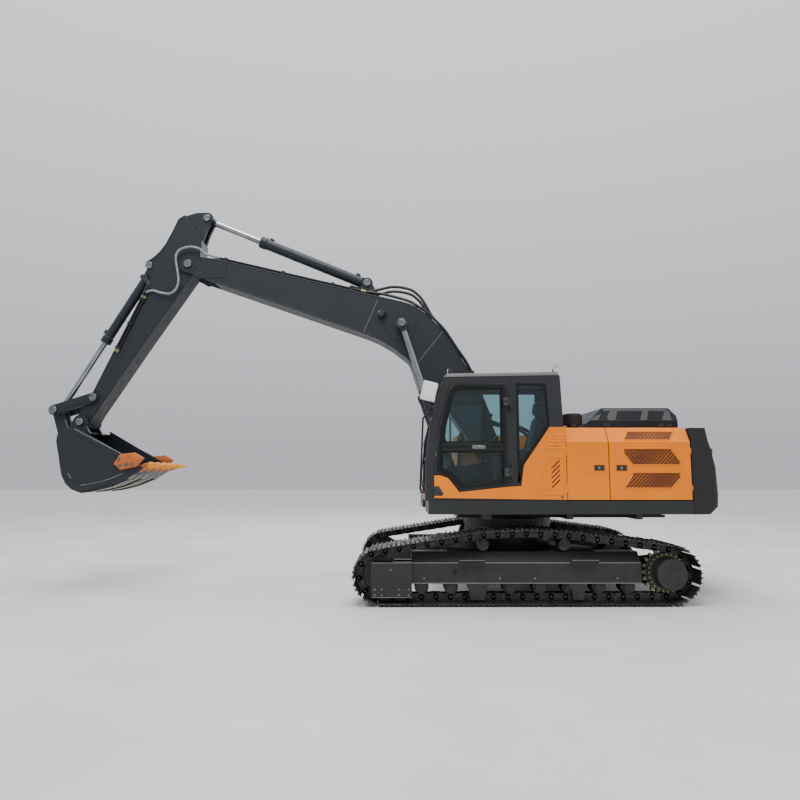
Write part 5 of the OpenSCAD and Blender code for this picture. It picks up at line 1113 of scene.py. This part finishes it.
def add_cylinder(name, barrel, rod, a, b, ys, d, gland):
    """Details of a cylinder between two pins: its barrel's diameter, and how far its gland is from the first pin."""
    r, n = d / 2, length_of(a, b)
    tube = Piece(name + "_barrel_tube", barrel, "slate", along(a, b))
    bolts = Piece(name + "_barrel_bolts", barrel, "bolt", along(a, b))
    eye = Piece(name + "_rod_eye", rod, "slate", along(a, b))
    for y in ys:
        # Head, weld ring, port blocks, bands and the head's bolt circle
        tube.lathe((gland - 95, y, 0), AHEAD, [(-12, r), (-6, r + 7), (-1, r + 11), (88, r + 11), (97, r + 5),
                                               (97, r - 24), (60, r - 24)], 40, True)
        tube.lathe((95, y, 0), AHEAD, [(-4, r - 8), (6, r + 5), (20, r + 5), (30, r), (30, r - 8)], 40, True)
        for x in (190.0, gland - 150):
            tube.box((x - 34, y - 30, r - 14), (x + 34, y + 30, r + 30), 6.0, 2)
        for x in (gland * 0.38, gland * 0.66):
            tube.lathe((x, y, 0), AHEAD, [(0, r - 4), (0, r + 4), (26, r + 4), (26, r - 4)], 40, True)
        for u, v in circle(12, r - 10, 0.5):
            bolts.hexagon((gland + 1, y + u, v), AHEAD, 17, 11)
        # The rod's eye, its neck and its grease nut
        eye.lathe((n, y - EYE_HALF - 0.6, 0), OUT, [(0, 44), (0, 77), (4, 81), (97, 81), (101.2, 77), (101.2, 44)], 40)
        eye.lathe((n - 131, y, 0), AHEAD, [(0, 40), (0, 49), (5, 53.2), (98, 53.2), (98, 40)], 36, True)
        eye.lathe((n, y - 12, 0), OUT, [(0, 88), (24, 88)], 6)


def add_cylinders():
    add_cylinder("boom", "boom_barrels", "boom_rods", BOOM_CYL_BASE, BOOM_CYL_TOP, (-BOOM_CYL_Y, BOOM_CYL_Y), 150.0,
                 1680.0)
    add_cylinder("arm", "arm_barrel", "arm_rod", ARM_CYL_FOOT, ARM_CYL_TOP, (0.0,), 165.0, 1816.0)
    add_cylinder("bucket", "bucket_barrel", "bucket_rod", BUCKET_CYL_FOOT, ROCKER_END, (0.0,), 140.0, 1367.0)
    caps = Piece("boom_rod_pin_caps", "boom_rods", "silver", sides=BOTH)
    pin_cap(caps, BOOM_CYL_TOP, BOOM_CYL_Y + 62, 58, 2)
    feet = Piece("boom_barrel_pin_caps", "house", "bolt", sides=BOTH)
    x, z = BOOM_CYL_BASE
    feet.lathe((x, BOOM_CYL_Y + 108, z), OUT, [(-2, 50), (10, 50), (14, 44), (14, 0)], 32)


def add_boom():
    trim = Piece("boom_welds", "boom", "slate", IN_BOOM, BOTH)
    bead(trim, BOOM_SIDE, 16.0, BOOM_HALF + 1, 6.0)
    # Reinforcing plates at the bosses
    trim.lathe((0, BOOM_HALF, 0), OUT, [(-2, 132), (8, 132), (12, 126), (12, 62)], 40)
    trim.lathe((2410, BOOM_HALF + 14, 995), OUT, [(-3, 100), (4, 100), (8, 94), (8, 66)], 40)
    for plate in ([(2180, 830), (2420, 740), (2660, 860), (2640, 1130), (2420, 1210), (2210, 1120)],
                  [(5100, 130), (5400, -90), (5560, -96), (5520, 120), (5400, 250), (5180, 330)]):
        trim.prism(plate, BOOM_HALF - 1, BOOM_HALF + 7, 3.0)
    # Two weld seams across the boom, in the light grey of painted highlight
    seams = Piece("boom_seams", "boom", "edge", IN_BOOM, BOTH)
    for path in ([(2939, 1138), (2838, 590)], [(1838, 1260), (1896, 590)]):
        seams.seam(path, BOOM_HALF + 0.5, 4.5, 6)
    caps = Piece("boom_pin_caps", "boom", "silver", IN_BOOM, BOTH)
    pin_cap(caps, (BOOM_LEN, 0), 228, 62, 2)
    pin_cap(caps, (3245, 1290), 110, 56, 1)
    # Work lamp on the side
    glow = Piece("boom_lamp_lens", "boom", "lens", IN_BOOM)
    glow.lathe((2809, 252, 980), AHEAD, [(0, 30), (4, 30), (8, 22), (10, 10), (10, 0)], 28)
    guard = Piece("boom_lamp_guard", "boom", "black", IN_BOOM)
    guard.sweep([(2722, 224, 930), (2730, 252, 922), (2730, 292, 930), (2730, 298, 980), (2730, 292, 1030),
                 (2730, 252, 1038), (2722, 224, 1030)], 5, 8, 3)
    bolts = Piece("pipe_clamp_bolts", "boom", "bolt", IN_BOOM, BOTH)
    up = (sin(PIPE_SLOPE), 0, cos(PIPE_SLOPE))
    for u in (3370, 3650, 4390, 5251):
        v = 1320 - (u - 2610) * tan(PIPE_SLOPE)
        bolts.hexagon((u + up[0] * 51, CLAMP_BOLT_Y, v + up[2] * 51), up, 20, 12)
    # Smooth hoses over the crank and down the boom's back
    hoses = Piece("boom_hose_run", "boom", "rubber", IN_BOOM, BOTH, "boom_hoses", 40.0)
    ends = Piece("boom_hose_ends", "boom", "zinc", IN_BOOM, BOTH, "boom_hoses")
    clamps = Piece("boom_hose_clamps", "boom", "black", IN_BOOM, BOTH, "boom_hoses")
    crank = [(3060, 1260), (2868, 1453), (2639, 1560), (2480, 1560), (2341, 1515), (2121, 1400), (1990, 1360),
             (1830, 1312), (1528, 1179), (1162, 1006)]
    low = [(2950, 1250), (2686, 1345), (2496, 1392), (2226, 1395), (2040, 1362), (1830, 1310), (1528, 1178),
           (1162, 1006)]
    ahead = (cos(PIPE_SLOPE), 0, -sin(PIPE_SLOPE))
    for y, route in ((INNER_HOSE_Y, crank), (OUTER_HOSE_Y, low)):
        hoses.sweep([(u, y, v) for u, v in (on_pipe(-0.3), on_pipe(-50), *route, HOSE_END)], 22, 14, 6)
        for back, profile, sides in ((62, [(0, 21), (0, 24), (44, 24), (44, 19)], 20), (20, [(0, 25), (34, 25)], 6)):
            u, v = on_pipe(-back)
            ends.lathe((u, y, v), ahead, profile, sides)
    lift = point_in((0, 0), CLAMP_TURN, 0, 1)
    for at in HOSE_CLAMPS:
        u, v = point_in(at, CLAMP_TURN, 0, 62)
        ends.hexagon((u, CLAMP_BOLT_Y, v), (lift[0], 0, lift[1]), 22, 12)
        clamps.prism([point_in(at, CLAMP_TURN, x, z) for x, z in ((-25, 0), (25, 0), (25, 62), (-25, 62))],
                     95, 200, 4.0, 2)


def add_joint_hoses():
    """The hoses over the arm joint and at the boom's foot, swept round their joints."""
    run = (BOOM_LEN - 350 - 3215) / cos(PIPE_SLOPE)
    route = [(-131, 190, 285), (9, 238, 285), (144, 240, 215), (224, 240, 95), (204, 240, -17), (91, 240, -146),
             (-41, 240, -290), (-91, 240, -420), (-51, 236, -538), (83, 225, -603), (209, 210, -640), (284, 190, -715)]
    hose = Piece("arm_joint_hoses", None, "hose", IN_BOOM, BOTH, "arm_hoses", 40.0)
    start = [(u, OUTER_HOSE_Y, v) for u, v in (on_pipe(run + 0.3), on_pipe(run + 40))]
    hose.sweep(start + [(BOOM_LEN + u, y, v) for u, y, v in route], 17, 14, 6)
    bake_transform(hose.done())
    base = Piece("boom_foot_hoses", None, "rubber", None, BOTH, "boom_base_hoses", 40.0)
    back = unit(HOSE_END - Vector((1162, 1006)))
    ends = [boom_point(*(HOSE_END + back * t)) for t in (50, 0.3)]
    path = [(-480, 1315), (-480, 1900), (-440, 2140), (-300, 2310), (-80, 2400), (60, 2400), *ends]
    for y in (INNER_HOSE_Y, OUTER_HOSE_Y):
        base.sweep([(x, y, z) for x, z in path], 20, 14, 6)
    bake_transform(base.done())


def add_arm():
    trim = Piece("arm_welds", "arm", "slate", IN_ARM, BOTH)
    bead(trim, ARM_SIDE, 15.0, ARM_HALF + 1, 5.5)
    for path in ([(620, 372), (560, -124)], [(2300, 128), (2330, -94)]):
        trim.seam(path, ARM_HALF + 1, 5, 6)
    trim.lathe((0, ARM_HALF + 3, 0), OUT, [(-3, 118), (4, 118), (8, 112), (8, 60)], 40)
    trim.lathe((ARM_LEN, ARM_HALF, 0), OUT, [(-3, 96), (5, 96), (8, 90), (8, 56)], 40)
    trim.lathe((ARM_LEN - 401, ARM_HALF, 55), OUT, [(-3, 74), (3, 74), (6, 70), (6, 52)], 36)
    caps = Piece("arm_pin_caps", "arm", "silver", IN_ARM, BOTH)
    pin_cap(caps, (330, 515), 180, 54, 2)
    pin_cap(caps, (-785, 200), 133, 54, 2, 12.0)
    # Ends of the steel pipes, and short hoses from them to a block on the arm's top
    fits = Piece("arm_pipe_ends", "arm", "zinc", IN_ARM, BOTH)
    short = Piece("arm_short_hoses", "arm", "rubber", IN_ARM, BOTH)
    d = point_in((0, 0), ARM_PIPE_TURN, 1, 0)
    for drop, reach in ((26, 0), (66, 1)):
        for u in (-88, 808):
            x, z = on_arm_pipe(u, drop)
            for profile, sides in (([(-16, 20), (22, 20)], 6), ([(18, 17), (44, 17), (46, 14)], 16)):
                fits.lathe((x, ARM_PIPE_Y, z), (d[0], 0, d[1]), profile, sides)
        x, z = on_arm_pipe(-96, drop)
        short.sweep([(x, ARM_PIPE_Y, z), (x - 70, 190, z + 12), (x - 190, 184 - 4 * reach, z + 40 + 20 * reach),
                     (560 - 40 * reach, 150, 440), (520 - 40 * reach, 110, 470)], 14, 12, 6)


def add_linkage():
    caps = Piece("rocker_pin_caps", "rocker", "silver", sides=BOTH)
    pin_cap(caps, ROCKER_PIVOT, ARM_HALF + 54, 56, 2, 14.0)
    pin_cap(caps, ROCKER_END, ARM_HALF + 54, 58, 2, 14.0)
    plates = Piece("rocker_plates", "rocker", "slate", along(ROCKER_PIVOT, ROCKER_END), BOTH)
    plates.box((70, 212, -30), (length_of(ROCKER_PIVOT, ROCKER_END) - 70, 218, 30), 3.0)
    link = Piece("link_rings", "h_link", "slate", along(LINK_PIN, ROCKER_END), BOTH)
    link.lathe((0, 107, 0), OUT, [(-1, 74), (6, 74), (10, 66), (10, 46)], 36)
    link.lathe((length_of(LINK_PIN, ROCKER_END), 107, 0), OUT, [(-1, 66), (3, 66), (6, 60), (6, 46)], 36)


BUCKET_LINE = [(-1095, -695), (-860, -850), (-660, -935), (-510, -975), (-360, -1010), (-225, -1025), (-110, -985),
               (-20, -905), (40, -790), (75, -640), (95, -525), (125, -400), (145, -300), (135, -215), (70, -150),
               (-100, -145)]
# Lines of painted highlight along the edges of the side plates
BUCKET_HIGHLIGHT_LINES = ([(-104, -134), (-785, -482)], [(-95, -835), (-50, -760)],
                 [(-825, -765), (-640, -845), (-490, -885), (-350, -918), (-240, -928)])
# Rings of a tooth: X, top, low and half width
ADAPTER = ((-985, -690, -752, 30), (-1040, -655, -742, 40), (-1090, -628, -722, 47), (-1150, -612, -712, 47.5),
           (-1182, -608, -704, 44))
POINT = ((-1176, -600, -706, 47), (-1196, -600, -702, 47.5), (-1215, -608, -690, 43), (-1300, -624, -672, 41),
         (-1356, -636, -656, 38), (-1371, -640, -647, 37))


def tooth_rings(sizes, y):
    """Rings with cut corners, round the line at y."""
    rings = []
    for x, top, low, half in sizes:
        c = min(half, (top - low) / 2) * 0.35
        rings.append([(x, y - half + c, low), (x, y + half - c, low), (x, y + half, low + c), (x, y + half, top - c),
                      (x, y + half - c, top), (x, y - half + c, top), (x, y - half, top - c), (x, y - half, low + c)])
    return rings


def add_bucket():
    trim = Piece("bucket_welds", "bucket", "slate", IN_BUCKET, BOTH)
    trim.seam(BUCKET_LINE, BUCKET_HALF, 7, 6)
    # Thick plate along the side's edge, and gussets of the hinge plates
    for plate in ([(-100, -130), (-785, -480), (-1050, -640), (-1000, -668), (-760, -540), (-110, -196)],
                  [(-620, -925), (-380, -995), (-220, -1010), (-130, -975), (-60, -905), (-110, -880), (-240, -930),
                   (-600, -850)]):
        trim.prism(plate, BUCKET_HALF, BUCKET_HALF + 12, 4.0, 2)
    trim.prism([(-60, -175), (150, -215), (120, -140), (60, -80)], 229, 252, 4.0)
    straps = Piece("bucket_wear_straps", "bucket", "strap_steel", IN_BUCKET)
    for y in (-490, -245, 0, 245, 490):
        for i, (a, b) in enumerate(zip(BUCKET_LINE[:9], BUCKET_LINE[1:])):
            # The outer and middle straps lie on the heel's raised strips, the others on the shell
            low, high = (13.0, 17.5) if i and y % 490 == 0 else (-1.5, 4.0)
            a, b = Vector(a), Vector(b)
            d = unit(b - a)
            n = Vector((d.y, -d.x))
            straps.prism([a + n * low - d * 2, b + n * low + d * 2, b + n * high + d * 2, a + n * high - d * 2],
                         y - 42, y + 42, 1.0)
    # Painted highlight along the side plates' edges, in light grey
    edge = Piece("bucket_edges", "bucket", "edge", IN_BUCKET, BOTH)
    for path in BUCKET_HIGHLIGHT_LINES:
        edge.seam(path, BUCKET_HALF + 7.5, 5.5, 8)
    caps = Piece("bucket_pin_caps", "bucket", "silver", IN_BUCKET, BOTH)
    pin_cap(caps, (0, 0), 252, 54, 0, 10.0)
    pin_cap(caps, (230, -386), 247, 48, 0, 8.0)
    lip = Piece("bucket_lip", "bucket", "slate", IN_BUCKET)
    lip.prism([(-1100, -690), (-1092, -704), (-960, -790), (-952, -778), (-1072, -690)], -555, 555, 4.0, 2)
    adapters = Piece("tooth_adapters", "bucket", "cutter", IN_BUCKET, replaces="bucket_teeth")
    points = Piece("tooth_points", "bucket", "tooth", IN_BUCKET, replaces="bucket_teeth")
    pins = Piece("tooth_pins", "bucket", "bolt", IN_BUCKET)
    for i in range(5):
        y = 1017.0 * (i / 4 - 0.5)
        adapters.loft(tooth_rings(ADAPTER, y))
        points.loft(tooth_rings(POINT, y))
        for s in BOTH:
            pins.lathe((-1130, y + s * 46, -662), (0, s, 0), [(0, 15), (4, 15), (6, 10), (6, 0)], 16)
    cutters = Piece("side_cutters", "bucket", "cutter", IN_BUCKET, BOTH, "bucket_teeth")
    cutters.prism([(-700, -625), (-785, -490), (-990, -470), (-1130, -550), (-1025, -670), (-795, -715)],
                  580, 620, 9.0, 2)
    cutters.sides = (1,)
    for y0, y1 in ((-612, -586), (588, 626)):
        cutters.prism([(-880, -500), (-985, -486), (-1100, -550), (-1010, -610)], y0, y1, 5.0, 2)
    bolts = Piece("side_cutter_bolts", "bucket", "bolt", IN_BUCKET, BOTH)
    for x, z in ((-770, -560), (-790, -655), (-880, -640), (-960, -640)):
        bolts.hexagon((x, 619, z), OUT, 38, 20)


for add in (add_camera, add_lights, add_floor, dress_nodes, add_tracks, add_undercarriage, add_grilles, add_latches,
            add_side_panel, add_cab_outside, add_cab_inside, add_hood, add_stacks, add_decks, add_rear, add_cylinders,
            add_boom, add_joint_hoses, add_arm, add_linkage, add_bucket):
    add()
for piece in list(Piece.waiting):
    piece.done()
